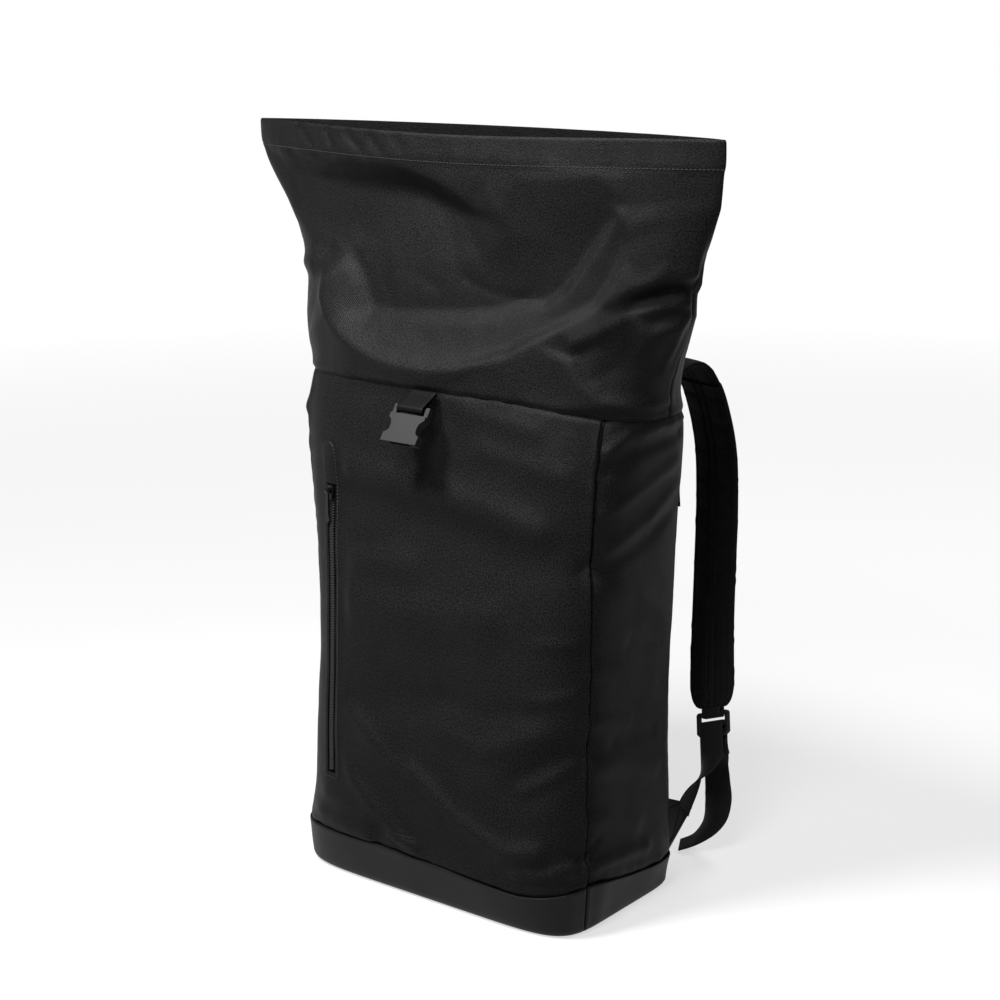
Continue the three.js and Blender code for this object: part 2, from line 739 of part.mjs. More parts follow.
// Closure strap and plug, hanging at the middle of the back
const closureLine = (z, i) => 1 + ((i / 2 - 0.5) * webWidth) / outline(z).half;
const closureOut = 0.8;
const closureStrap = skinSheet(closureLine, 2, () => closureLow, () => closureTop, 8,
  () => closureOut + webThick, () => closureOut);
addPiece('closure_strap', closureStrap, blackWeb);
const plugPoint = skin(1, closureLow, closureOut);
const plugAcross = new THREE.Vector3(-1, 0, 0);
const plugDown = new THREE.Vector3(0, 0, -1);
const plugFrame = frameOf(plugPoint, plugAcross, plugDown, new THREE.Vector3(0, -1, 0));
const plugOutline = [[-17, 0.4], [-17, 12], [-18, 20], [-15.5, 31], [-11, 31], [-11, 16], [-3.5, 16],
  [-3.5, 33], [3.5, 33], [3.5, 16], [11, 16], [11, 31], [15.5, 31], [18, 20], [17, 12], [17, 0.4]].reverse();
addPiece('closure_plug', plateIn(plugFrame, plugOutline, -4.6, -0.4), greyPlastic);

// Pull at the right rear edge
const sideShare = 0.66;
const sideZ = (sidePullTop + sidePullLow) / 2;
const sideNormal = bareNormal(sideShare, sideZ).setZ(0).normalize();
const sideAcross = new THREE.Vector3(0, 0, 1).cross(sideNormal).normalize();
const sideFrame = frameOf(skin(sideShare, sideZ, 0), sideAcross, new THREE.Vector3(0, 0, 1), sideNormal);
const reach = (sidePullTop - sidePullLow) / 2;
const sideOutline = [[-1.3, reach], [-1.3, -reach + 12], [-4, -reach], [4, -reach],
  [1.3, -reach + 12], [1.3, reach]];
addPiece('side_pull', plateIn(sideFrame, sideOutline, 0.2, 2), greyPlastic);

// Inside of the bag about its rear seam, to trim the yokes to the skin
const coreRings = [];
for (let z = 400; z <= 500; z += 10) {
  const ring = [];
  for (let i = 0; i < 72; i += 1) {
    ring.push(skin(-1 + i / 36, z, 0.4));
  }
  coreRings.push(ring);
}
const bagCore = toSolid(loft(coreRings));

// Straps
function straps(sign, suffix) {
  const flip = (rows) => rows.map(([x, y, z, yaw]) => [sign * x, y, z, sign * yaw]);
  const rows = flip(strapRows);
  const yoke = toSolid(band(pathOf(rows, 0, yokeShare, 8), () => padWidth - 2, () => yokeThick, true));
  addPiece(`strap_yoke_${suffix}`, toGeometry(yoke.subtract(bagCore)), blackCloth);
  const padPath = pathOf(rows, yokeShare + 0.0012, 1, 16);
  const pad = band(padPath, (t) => padWidth - 22 * ease(0.9, 1, t), () => padThick, true);
  addPiece(`strap_pad_${suffix}`, pad, padCloth);

  // Ladder lock frame: across, down and through
  const end = padPath[padPath.length - 1];
  const down = end.ahead.clone().normalize();
  const across = end.side.clone().addScaledVector(down, -end.side.dot(down)).normalize();
  const through = across.clone().cross(down).normalize();
  const lockOrigin = end.p.clone().addScaledVector(down, 4);
  const lockFrame = frameOf(lockOrigin, across, down, through);
  const at = (out, along) => lockOrigin.clone().addScaledVector(through, out).addScaledVector(down, along);
  const half = lockWidth / 2;
  const lockOutline = [[-half, 1.5], [-half + 1.5, 0], [half - 1.5, 0], [half, 1.5], [half, lockLength - 3],
    [half - 4, lockLength], [-half + 4, lockLength], [-half, lockLength - 3]];
  const slotHalf = half - 3.5;
  const slotOf = ({ from, to }) => [[-slotHalf, from], [-slotHalf, to], [slotHalf, to], [slotHalf, from]];
  const slots = lockSlots.map(slotOf);
  const lock = plateIn(lockFrame, lockOutline, -lockThick / 2, lockThick / 2, slots);
  addPiece(`ladder_lock_${suffix}`, lock, blackPlastic);

  // Webbing tab round the top bar
  const wrap = lockThick / 2 + loopGap + webThick / 2;
  const bend = (wrap - lockThick / 2) * 0.71;
  const flatBar = lockThick / 2;
  const tabSpots = [[wrap, -3.6], [wrap, 4], [flatBar + bend, 4 + bend], [flatBar, 2 + wrap],
    [-flatBar, 2 + wrap], [-flatBar - bend, 4 + bend], [-wrap, 4], [-wrap, -3.6]];
  const tabPath = tabSpots.map(([out, along]) => ({ p: at(out, along), side: across }));
  addPiece(`strap_tab_${suffix}`, band(tabPath, () => tabWidth, () => webThick, false), blackWeb);

  // Anchor tab in the rear corner seam
  const cornerZ = 62;
  const corner = skin(sign * cornerB(cornerZ), cornerZ, 0.4);
  const outward = new THREE.Vector3(-0.1 * sign, 0.995, 0).normalize();
  const upward = new THREE.Vector3(0, 0, 1);
  const flat = outward.clone().cross(upward).normalize();
  const anchorFrame = frameOf(corner.clone().setZ(0), outward, upward, flat);
  const anchor = plateIn(anchorFrame, anchorRows, -anchorThick / 2, anchorThick / 2);
  addPiece(`anchor_tab_${suffix}`, anchor, blackCloth);

  // Adjuster webbing from the anchor tab, round the middle bar, to its free end
  const [outA, highA] = anchorRows[2];
  const [outB, highB] = anchorRows[3];
  const edgeA = new THREE.Vector3(outA, highA, 0).applyMatrix4(anchorFrame);
  const edgeB = new THREE.Vector3(outB, highB, 0).applyMatrix4(anchorFrame);
  const edgeSide = edgeA.clone().sub(edgeB).normalize();
  const lead = outward.clone().multiplyScalar(-edgeSide.z);
  lead.addScaledVector(upward, edgeSide.dot(outward)).normalize();
  const start = edgeA.clone().add(edgeB).multiplyScalar(0.5).addScaledVector(lead, 0.5);
  const loadEnd = at(-wrap, lockLength + 10);
  const path = [];
  const loadSteps = 10;
  const turnTo = across.clone().multiplyScalar(-sign);
  for (let k = 0; k < loadSteps; k += 1) {
    const t = k / loadSteps;
    const turn = ease(0, 1, t);
    const side = edgeSide.clone().multiplyScalar(1 - turn).addScaledVector(turnTo, turn).normalize();
    path.push({ p: start.clone().lerp(loadEnd, t), side, ahead: k === 0 ? lead : null });
  }
  const bar2 = lockSlots[0].to;
  const turnSpots = [[wrap, lockLength + 10], [wrap, lockLength + 1], [wrap, bar2],
    [flatBar + bend, bar2 - bend], [flatBar, bar2 + 2 - wrap],
    [-flatBar, bar2 + 2 - wrap], [-flatBar - bend, bar2 - bend], [-wrap, bar2], [-wrap, lockLength + 1],
    [-wrap, lockLength + 8]];
  turnSpots.forEach(([out, along]) => path.push({ p: at(-out, along), side: turnTo }));
  const first = at(wrap, lockLength + 8);
  const tail = pathOf([[first.x, first.y, first.z, sign * -14]].concat(flip(tailRows)), 0, 1, 16).slice(1);
  tail.forEach((step) => path.push({ p: step.p, side: step.side.clone().multiplyScalar(-sign) }));
  addPiece(`adjuster_webbing_${suffix}`, band(path, () => webWidth, () => webThick, false), blackWeb);
}
straps(1, 'right');
straps(-1, 'left');

export default bag;
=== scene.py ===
import math

import bmesh
import bpy
import numpy as np
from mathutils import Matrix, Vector, noise
from mathutils.geometry import delaunay_2d_cdt


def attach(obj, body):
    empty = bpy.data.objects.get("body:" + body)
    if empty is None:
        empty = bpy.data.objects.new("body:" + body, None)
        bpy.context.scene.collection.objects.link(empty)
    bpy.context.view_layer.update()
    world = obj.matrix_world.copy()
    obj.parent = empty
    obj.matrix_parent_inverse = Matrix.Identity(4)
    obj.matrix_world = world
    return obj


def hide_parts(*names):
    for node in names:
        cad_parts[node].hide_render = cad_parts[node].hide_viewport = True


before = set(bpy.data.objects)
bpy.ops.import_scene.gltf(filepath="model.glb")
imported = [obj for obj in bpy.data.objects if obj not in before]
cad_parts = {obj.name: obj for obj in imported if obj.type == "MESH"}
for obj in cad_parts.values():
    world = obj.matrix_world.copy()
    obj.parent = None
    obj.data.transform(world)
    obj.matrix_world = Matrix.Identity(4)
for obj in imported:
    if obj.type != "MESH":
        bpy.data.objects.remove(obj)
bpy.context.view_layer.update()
scene = bpy.context.scene
scene.view_settings.view_transform = "Standard"
mm = 0.001

# camera where the photograph was taken from
viewPoint = {"at": (1.0759, -1.3872, 0.7779), "turn": (76.2, 0.0, 37.6), "lens": 73.33}
cameraData = bpy.data.cameras.new("photoCamera")
cameraData.sensor_width = 36
cameraData.lens = viewPoint["lens"]
cameraData.clip_end = 200
camera = bpy.data.objects.new("photoCamera", cameraData)
camera.location = viewPoint["at"]
camera.rotation_euler = [math.radians(a) for a in viewPoint["turn"]]
scene.collection.objects.link(camera)
scene.camera = camera
print("camera placed")


class Wire:  # a socket that takes part in sums
    def __init__(self, tree, socket):
        self.tree = tree
        self.socket = socket

    def work(self, operation, other=0.0, swap=False):
        node = self.tree.nodes.new("ShaderNodeMath")
        node.operation = operation
        for index, value in enumerate((other, self) if swap else (self, other)):
            if isinstance(value, Wire):
                self.tree.links.new(value.socket, node.inputs[index])
            else:
                node.inputs[index].default_value = value
        return Wire(self.tree, node.outputs[0])

    def __add__(self, other):
        return self.work("ADD", other)

    def __radd__(self, other):
        return self.work("ADD", other, True)

    def __sub__(self, other):
        return self.work("SUBTRACT", other)

    def __rsub__(self, other):
        return self.work("SUBTRACT", other, True)

    def __mul__(self, other):
        return self.work("MULTIPLY", other)

    def __rmul__(self, other):
        return self.work("MULTIPLY", other, True)

    def __pow__(self, other):
        return self.work("POWER", other)

    def sine(self):
        return self.work("SINE")

    def size(self):
        return self.work("ABSOLUTE")

    def cap(self, low, high):
        return self.work("MAXIMUM", low).work("MINIMUM", high)


class Board:  # a node tree and the one way that nodes are added to it
    def __init__(self, tree):
        self.tree = tree
        tree.nodes.clear()

    def node(self, kind, settings, inputs, output=0):
        made = self.tree.nodes.new(kind)
        for key, value in settings.items():
            setattr(made, key, value)
        for key, value in inputs.items():
            if isinstance(value, Wire):
                self.tree.links.new(value.socket, made.inputs[key])
            else:
                made.inputs[key].default_value = value
        return Wire(self.tree, made.outputs[output]) if made.outputs else None


class Finish(Board):  # one material
    def __init__(self, name, fixed):
        self.material = bpy.data.materials.new(name)
        self.material.use_nodes = True
        super().__init__(self.material.node_tree)
        surface = self.node("ShaderNodeBsdfPrincipled", {}, fixed)
        self.shader = surface.socket.node
        self.node("ShaderNodeOutputMaterial", {}, {0: surface})

    def feed(self, key, wire):
        self.tree.links.new(wire.socket, self.shader.inputs[key])

    def flat(self):  # metres across and along the cloth
        place = self.node("ShaderNodeUVMap", {"uv_map": "cut"}, {})
        across = self.node("ShaderNodeSeparateXYZ", {}, {0: place})
        along = Wire(self.tree, across.socket.node.outputs[1])
        return place, across, along

    def cloud(self, place, scale, detail):
        return self.node("ShaderNodeTexNoise", {}, {"Vector": place, "Scale": scale, "Detail": detail})

    def tint(self, share, dark, light):  # a grey may be given as one number
        ends = {key: (*np.broadcast_to(tone, 3), 1) for key, tone in ((6, dark), (7, light))}
        return self.node("ShaderNodeMix", {"data_type": "RGBA"}, {0: share, **ends}, 2)

    def emboss(self, height, depth, strength):
        bump = self.node("ShaderNodeBump", {}, {"Strength": strength, "Distance": depth, "Height": height})
        self.feed("Normal", bump)


def wovenFinish(name, look):  # threads over and under, with a slubby grain
    made = Finish(name, look["fixed"])
    place, across, along = made.flat()
    turn = 2 * math.pi / look["pitch"]
    warp = (across * turn).sine()
    weft = (along * turn).sine()
    twill = ((across + along) * (turn * 0.5)).sine()
    thread = warp * weft * look["plain"] + twill * look["twill"]
    grain = ((made.cloud(place, look["grain"], 1.0) - 0.5) * look["speck"] + 0.5).cap(0.0, 1.0)
    fleck = ((made.cloud(place, look["fleck"], 1.0) - 0.5) * look["contrast"] + 0.5).cap(0.0, 1.0)
    broad = made.cloud(place, look["broad"], 2.0)
    high = thread * look["threadHigh"] + grain * look["slub"] + fleck * look["fleckHigh"]
    made.emboss(high, look["depth"], look["strength"])
    shade = fleck * look["fleckTint"] + broad * look["broadTint"] + thread * look["threadTint"]
    shade = shade.cap(0.0, 1.0)
    made.feed("Base Color", made.tint(shade, look["dark"], look["light"]))
    made.feed("Roughness", grain * look["rough"][1] + (look["rough"][0] - look["rough"][1] * 0.5))
    return made.material


shellLook = {
    "fixed": {"Specular IOR Level": 0.042},
    "pitch": 0.0009, "plain": 0.5, "twill": 0.6, "grain": 1250.0, "speck": 3.0, "fleck": 660.0,
    "contrast": 2.4, "broad": 22.0, "threadHigh": 0.5, "slub": 1.0, "fleckHigh": 0.3, "depth": 0.0002,
    "strength": 0.7, "fleckTint": 0.75, "broadTint": 0.25, "threadTint": 0.1, "rough": (0.42, 0.18),
    "dark": 0.0, "light": 0.0072,
}
padLook = dict(shellLook, pitch=0.0011, rough=(0.75, 0.1), dark=0.0018, light=0.0075,
               fixed={"Specular IOR Level": 0.025})
tapeLook = dict(padLook, pitch=0.0009, twill=1.0, dark=0.0003, light=0.001)
shellCloth = wovenFinish("shellCloth", shellLook)
padCloth = wovenFinish("padCloth", padLook)
tapeCloth = wovenFinish("tapeCloth", tapeLook)


def webbingFinish(name, look):  # herringbone ribs along the strap, with painted shade darkening the grooves between them
    made = Finish(name, look["fixed"])
    place, across, along = made.flat()
    lean = (across * (math.pi / look["rib"])).sine().work("SIGN")
    rib = ((along + lean * across * look["lean"]) * (2 * math.pi / look["pitch"])).sine()
    column = (across * (math.pi / look["rib"])).sine().size() ** 0.5
    grain = made.cloud(place, look["grain"], 2.0)
    height = rib * look["ribHigh"] + column * look["columnHigh"] + grain * look["grainHigh"]
    made.emboss(height, look["depth"], look["strength"])
    # base colour follows the relief: painted shade in the low grooves between ribs and columns, plus random
    # tone from the grain
    shade = (height * look["tint"][1] + look["tint"][0]).cap(0.0, 1.0)
    made.feed("Base Color", made.tint(shade, look["dark"], look["light"]))
    made.feed("Roughness", grain * look["rough"][1] + look["rough"][0])
    return made.material


webLook = {
    "fixed": {"Specular IOR Level": 0.06},
    "pitch": 0.0016, "rib": 0.0035, "lean": 0.8, "grain": 700.0, "ribHigh": 0.35, "columnHigh": 0.6,
    # tint: base share and share of relief height in the colour, which paints shade into the grooves
    "grainHigh": 0.3, "depth": 0.0002, "strength": 0.5, "tint": (0.1, 0.5), "rough": (0.48, 0.15),
    "dark": 0.003, "light": 0.009,
}
loopLook = dict(webLook, dark=0.0006, light=0.003, strength=0.4, fixed={"Specular IOR Level": 0.045})
webbing = webbingFinish("webbing", webLook)
loopWebbing = webbingFinish("loopWebbing", loopLook)


def mouldedFinish(name, look):  # grained plastic, coated cloth, thread or painted metal
    made = Finish(name, look["fixed"])
    place = made.node("ShaderNodeTexCoord", {}, {}, "Object")
    fine = made.cloud(place, look["grain"], 3.0)
    broad = made.cloud(place, look["broad"], 3.0)
    cell = made.node("ShaderNodeTexVoronoi", {}, {"Vector": place, "Scale": look["cells"]})
    made.emboss(fine * look["fineHigh"] + cell * look["cellHigh"], look["depth"], look["strength"])
    shade = (broad * look["broadTint"] + fine * look["fineTint"]).cap(0.0, 1.0)
    made.feed("Base Color", made.tint(shade, look["dark"], look["light"]))
    made.feed("Roughness", broad * look["rough"][1] + (look["rough"][0] - look["rough"][1] * 0.5))
    return made.material


coatedLook = {
    "fixed": {"Specular IOR Level": 0.13},
    "grain": 1600.0, "broad": 30.0, "cells": 900.0, "fineHigh": 0.5, "cellHigh": 0.6, "broadTint": 0.7,
    "fineTint": 0.3,
    "depth": 0.00015, "strength": 0.35, "rough": (0.5, 0.14), "dark": 0.0016, "light": 0.0034,
}
greyLook = dict(coatedLook, fixed={"Specular IOR Level": 0.14}, strength=0.25, rough=(0.52, 0.1),
                dark=(0.005, 0.0051, 0.0052), light=(0.0088, 0.0089, 0.009))
blackLook = dict(greyLook, dark=0.003, light=0.006)
coilLook = dict(blackLook, rough=(0.4, 0.1), dark=0.006, light=0.011)
metalLook = dict(blackLook, fixed={"Specular IOR Level": 0.16, "Metallic": 0.1}, rough=(0.34, 0.14),
                 dark=0.0015, light=(0.004, 0.004, 0.0041))
threadLook = dict(blackLook, rough=(0.65, 0.1), dark=0.01, light=0.017)
tabLook = dict(blackLook, fixed={"Specular IOR Level": 0.05}, rough=(0.6, 0.1), dark=0.0008, light=0.002)
coatedBase = mouldedFinish("coatedBase", coatedLook)
greyPlastic = mouldedFinish("greyPlastic", greyLook)
blackPlastic = mouldedFinish("blackPlastic", blackLook)
zipCoil = mouldedFinish("zipCoil", coilLook)
zipMetal = mouldedFinish("zipMetal", metalLook)
thread = mouldedFinish("thread", threadLook)
pullTab = mouldedFinish("pullTab", tabLook)
print("finishes made")

# the bag's form, all in mm from the middle of its base
bagForm = {
    # z, midX, halfWidth, endY, front, back, squareX, squareY, cornerFront, cornerBack
    "sections": [
        (0, 1, 149, 0, 97, 72, 7, 7, 0.37, 0.69),
        (2, 1, 152, 0, 100, 75, 7, 7, 0.37, 0.69),
        (7, 1, 154, 0, 103, 77, 6.5, 6.5, 0.37, 0.69),
        (44, 3, 158, 0, 113, 82, 5, 5, 0.37, 0.69),
        (80, 5, 155, 0, 115, 84, 4.6, 4.6, 0.37, 0.69),
        (140, 5, 154, 0, 113, 85, 4.4, 4.4, 0.37, 0.69),
        (200, 5, 154, 0, 108, 85, 4.3, 4.3, 0.37, 0.69),
        (280, 4, 158, 0, 101, 85, 4.2, 4.2, 0.363, 0.69),
        (360, 1, 167, 0, 95, 84, 3.9, 3.9, 0.356, 0.69),
        (420, -1, 180, -1, 90, 82, 3.3, 3.1, 0.356, 0.7),
        (458, 1, 186, -4, 82, 78, 2.8, 2.4, 0.366, 0.72),
        (490, 3, 198, -6, 78, 70, 2.5, 2, 0.4, 0.75),
        (540, 6, 210, -11, 68, 58, 2.3, 1.7, 0.45, 0.8),
        (600, 3, 230, -17, 54, 46, 2.1, 1.5, 0.5, 0.8),
        (650, -2, 249, -21, 46, 41, 2, 1.3, 0.5, 0.8),
        (680, -3, 253, -22, 44, 40, 2, 1.3, 0.5, 0.8),
    ],
    # cloth pushed out or in along lines: girth distance and height of the points, half width, rise, form
    "folds": [
        ([(-100, 356), (36, 340), (150, 326)], 34, -3, 0), ([(109, 134), (156, 162)], 26, -3, 0.2),
        ([(-108, 80), (-62, 74)], 18, 3, 0.3),
    ],
    # softer drape that stays clear of the zip
    "drape": [
        ([(-111, 381), (-19, 373), (59, 367), (112, 353)], 20, 5, 0),
        ([(18, 450), (107, 436)], 12, 1.6, 0), ([(58, 415), (135, 401)], 13, 1.6, 0),
        ([(-84, 262), (-20, 262), (60, 270)], 27, 4.6, 0), ([(-80, 300), (-20, 306)], 16, 2.4, 0),
        ([(-76, 170), (17, 195)], 26, -3.2, 0), ([(25, 168), (70, 161), (122, 181)], 13, 2.4, 0.1),
        ([(23, 197), (70, 192), (116, 204)], 12, -1.6, 0), ([(108, 131), (154, 156)], 8, 2.0, 0.3),
        ([(102, 143), (148, 170)], 8, -1.2, 0), ([(111, 209), (150, 218)], 9, 1.7, 0.2),
        ([(118, 259), (148, 261)], 8, 1.2, 0.2), ([(-7, 126), (45, 93), (92, 75), (122, 79)], 13, 5, 0.2),
        ([(-96, 117), (-6, 52)], 11, 3.8, 0.2), ([(-83, 164), (-29, 126)], 12, 2.8, 0),
        ([(-119, 58), (-88, 56), (-62, 50)], 15, 3.2, 0.0), ([(-31, 60), (0, 58)], 6, 2.2, 0.2),
        ([(106, 56), (156, 62)], 8, 2.8, 0.2),
        ([(170, 62), (191, 62), (216, 60), (254, 54)], 9, 3.4, 0.1),
        ([(170, 421), (190, 437), (258, 440)], 8, 3, 0.4),
        ([(172, 405), (199, 421), (262, 427)], 9, -3.4, 0.2),
        ([(173, 338), (228, 356), (270, 380)], 9, 1.9, 0.1),
        ([(171, 324), (230, 339), (270, 360)], 9, -1.7, 0), ([(171, 371), (262, 402)], 9, 1.9, 0.1),
        ([(169, 306), (220, 290), (268, 258)], 16, 3, 0),
        ([(168, 236), (200, 226), (250, 204)], 12, 2.4, 0),
        ([(165, 190), (188, 188), (214, 178)], 9, 2, 0),
        ([(172, 150), (210, 144), (262, 126)], 13, 2.6, 0),
        ([(168, 106), (196, 98), (236, 80)], 12, 2.2, 0), ([(214, 250), (262, 240)], 10, -1.6, 0),
        ([(200, 168), (256, 160)], 10, -1.6, 0), ([(-172, 330), (-262, 372)], 13, 2.2, 0),
        ([(-175, 420), (-256, 436)], 10, 2.6, 0.3), ([(-172, 402), (-258, 420)], 10, -2.4, 0),
        ([(-170, 240), (-262, 205)], 14, 2, 0), ([(-175, 150), (-256, 165)], 10, 1.8, 0.2),
        ([(-168, 92), (-230, 80)], 10, 1.6, 0.1),
    ],
    # facets of the open collar: girth distance, height, rise along each fold line
    "collar": [
        [(-250, 676, 0), (-200, 676, -2), (200, 676, -2), (250, 676, 0)],
        [(-250, 652, 0), (-100, 652, 0.5), (100, 652, 0.5), (250, 652, 0)],
        [(-250, 446, 0), (-120, 446, 0), (0, 446, 0), (120, 446, 0), (250, 446, 0)],
        [(-215, 645, 0), (-198, 645, 0), (-123, 645, 0), (-60, 644, 0), (-31, 640, 0), (-4, 631, 0),
         (16, 622, -1), (31, 611, -5)],
        [(-215, 628, -6), (-184, 626, -11), (-124, 624, -18), (-79, 623, -21), (-43, 622, -22),
         (-16, 614, -21), (5, 607, -18), (29, 604, -11)],
        [(-205, 598, -8), (-165, 588, -15), (-129, 588, -18), (-87, 575, -18.5), (-38, 570, -17),
         (4, 566, -17), (32, 572, -14.5)],
        [(40, 640, 0.5), (46, 620, 0.5), (57, 607, -1), (63, 593, -5), (67, 580, -9), (76, 562, -13.5),
         (86, 550, -16.5)],
        [(74, 637, 0.5), (119, 639, 2.5), (149, 643, 3), (192, 645, 1), (228, 646, 0)],
        [(105, 589, -8.5), (135, 607, -5.5), (152, 620, -1.5)],
        [(76, 541, -18.5), (94, 541, -17), (111, 552, -15), (127, 572, -12.5), (144, 595, -8.5),
         (160, 613, -3)],
        [(81, 535, -13), (99, 535, -10), (116, 546, -8), (132, 566, -6), (149, 589, -2.5), (163, 607, 1)],
        [(-129, 549, -4), (-131, 533, 1), (-127, 521, 2.5), (-120, 511, 2.5), (-108, 503, 2),
         (-90, 496, 1.5), (-66, 489, 1), (-38, 486, 0), (-5, 486, -1.5), (24, 490, -3), (51, 497, -5),
         (70, 503, -6), (91, 514, -6.5), (113, 525, -6.5), (131, 536, -6), (143, 543, -5.5),
         (156, 561, -4.5), (163, 578, -3.5), (169, 591, -2), (165, 602, -1)],
        [(-127, 569, -14), (-133, 560, -9), (-138, 551, -2.5), (-143, 540, 4), (-146, 528, 7.5),
         (-143, 518, 8.5), (-134, 508, 8), (-118, 498, 8), (-103, 491, 8), (-68, 479, 7.5), (-38, 475, 7),
         (-5, 475, 6.5), (27, 479, 5.5), (56, 488, 4), (74, 494, 3), (95, 507, 2), (116, 519, 1),
         (136, 530, 1), (148, 539, 1), (161, 557, 1.5), (169, 575, 2), (175, 591, 2.5), (171, 604, 3),
         (167, 613, 3)],
        [(-127, 569, -14), (-116, 555, -14.5), (-104, 539, -15), (-93, 521, -16)],
        [(-83, 544, -18), (-71, 562, -17)],
        [(-93, 521, -16), (-62, 521, -17), (-39, 523, -17.5), (0, 526, -18), (36, 530, -18.5),
         (59, 536, -18.5), (76, 541, -18.5)],
        [(-123, 549, -6), (-118, 536, -5.5), (-113, 526, -6), (-108, 518, -7), (-100, 512, -8),
         (-91, 509, -8.5), (-80, 510, -9), (-62, 511, -10.5), (-39, 512, -11), (0, 515, -11.5),
         (36, 519, -12), (59, 525, -12.5), (81, 535, -13)],
        [(-45, 497, -4.5), (-10, 495, -5.5), (20, 499, -6.5), (46, 505, -8), (61, 516, -9.5)],
        [(130, 508, 3.5), (140, 513, 4), (151, 518, 4.5)],
        [(128, 499, -1), (138, 504, -2), (153, 510, -1)],
        [(129, 495, 3), (141, 476, 4.5), (158, 464, 5.5), (189, 459, 6), (234, 455, 5)],
        [(136, 499, -2), (148, 481, -1), (163, 471, 0), (190, 467, 1), (234, 465, 1)],
        [(163, 486, -4), (184, 482, -3)], [(180, 505, -5), (186, 496, -5)],
        [(211, 490, -4), (220, 478, -1)], [(163, 545, 3), (178, 555, 6), (203, 564, 7), (230, 568, 6)],
        [(168, 538, -1), (180, 545, -7), (203, 552, -9), (231, 556, -8)],
        [(176, 533, 1), (199, 540, 3), (226, 544, 3)],
        [(196, 530, -3.5), (212, 534, -4.5), (230, 535, -3)], [(192, 518, 4), (219, 525, 4)],
        [(176, 620, 0.5), (205, 624, 0), (242, 627, -0.5)],
        [(184, 608, 2.8), (209, 611, 2), (242, 614, 1)],
        [(-225, 590, -2), (-199, 578, -5), (-160, 576, -14)],
        [(-226, 565, -3), (-186, 567, -6), (-158, 562, -12)],
        [(-226, 548, 1), (-179, 546, 2), (-160, 548, -1)],
        [(-228, 538, -1.5), (-181, 533, -1.5), (-162, 523, 2)], [(-200, 505, 2), (-185, 480, 2)],
    ],
    "collarSheet": {"reach": 250, "low": 440, "high": 680, "step": 1.6, "soft": 2.2},
    # where the two ends of the collar sit in from the plain form: height, push
    "endLeft": [(430, 0), (446, -3), (456, -5), (464, -4), (476, 0), (520, 0), (545, -2), (556, -4),
                (566, -3), (580, -4.5), (600, -3), (620, -1), (640, -1), (673, -4)],
    "endRight": [(430, 0), (446, -2), (460, -6), (476, -9), (490, -9), (508, -5), (530, -1), (548, -4),
                 (556, -1), (575, -3), (600, -2), (620, 0), (640, -2), (673, -5)],
    # gathers under and in the hem, and pinches at the seams
    "creases": [
        ([(-178, 668), (-160, 654)], 6, -2, 0.2), ([(-139, 667), (-130, 653)], 6, -2, 0.2),
        ([(-112, 666), (-93, 653)], 6, -1.8, 0.2), ([(-82, 664), (-68, 652)], 6, -1.5, 0.2),
        ([(-52, 664), (-42, 654)], 6, -0.9, 0.2), ([(-198, 646), (-172, 634)], 6, -1.5, 0.2),
        ([(-158, 647), (-138, 636)], 6, -1.4, 0.2), ([(-42, 553), (-16, 544)], 7, -0.6, 0.1),
        ([(12, 554), (39, 545), (75, 541)], 6, -0.9, 0.2), ([(168, 540), (205, 574)], 6, 0.8, 0.3),
        ([(160, 330), (152, 323)], 6, -1.6, 0.3), ([(148, 80), (163, 72)], 5, -1.6, 0.4),
        ([(163, 72), (182, 84)], 5, -1.6, 0.4), ([(140, 66), (160, 68)], 4, 1.4, 0.3),
    ],
    # top edge of the boot: girth distance and height
    "bootTop": [(-430, 35), (-303, 33), (-282, 31), (-254, 31), (-216, 36), (-188, 41), (-165, 45),
                (-138, 41), (-110, 43), (-41, 46), (22, 43), (75, 39), (100, 37), (131, 41), (165, 47),
                (188, 42), (216, 36), (254, 31), (282, 31), (303, 33), (430, 35)],
    "bootFront": 44, "bootGirth": 427, "bootEase": (-8, -4, 0, 4, 8), "seamFront": 458, "seamRight": 444,
    "seamLeft": 455, "seamRear": 452, "mouthEnd": 673, "mouthDip": 3, "seamGap": 0.3, "startZ": 300.0,
    # spans over which one form gives way to the next: mm, then shares of the half girth
    "footFade": (-6, 16), "zipClear": (12, 30), "collarFade": (450, 460), "endReach": 42,
    "collarEnds": (0.48, 0.58), "backStill": (0.88, 0.99), "seamSide": (0.12, 0.5), "seamBack": (0.6, 0.95),
    "mouthSide": (0, 0.45),
    "foldReach": 2.4, "foldSoft": 1.6,  # in half widths of a fold
    "ripples": [(46.0, 0.8, 3.1), (17.0, 0.25, 8.7)],  # wave, rise, seed
}


def mix(a, b, t):
    return a + (b - a) * t


def ease(low, high, value):
    t = np.clip((value - low) / (high - low), 0, 1)
    return t * t * (3 - 2 * t)


def readSections(z):
    rows = np.array(bagForm["sections"], float)
    heights = rows[:, 0]
    slopes = np.empty_like(rows)
    slopes[1:-1] = (rows[2:] - rows[:-2]) / (heights[2:] - heights[:-2])[:, None]
    slopes[0] = (rows[1] - rows[0]) / (heights[1] - heights[0])
    slopes[-1] = (rows[-1] - rows[-2]) / (heights[-1] - heights[-2])
    k = np.minimum(len(rows) - 2, np.searchsorted(heights[1:], z, side="left"))
    span = (heights[k + 1] - heights[k])[:, None]
    t = np.clip((z - heights[k])[:, None] / span, 0, 1)
    return ((2 * t**3 - 3 * t**2 + 1) * rows[k] + (t**3 - 2 * t**2 + t) * span * slopes[k]
            + (3 * t**2 - 2 * t**3) * rows[k + 1] + (t**3 - t**2) * span * slopes[k + 1])


levels = np.arange(-8.0, 692.0)
shareCount = 801


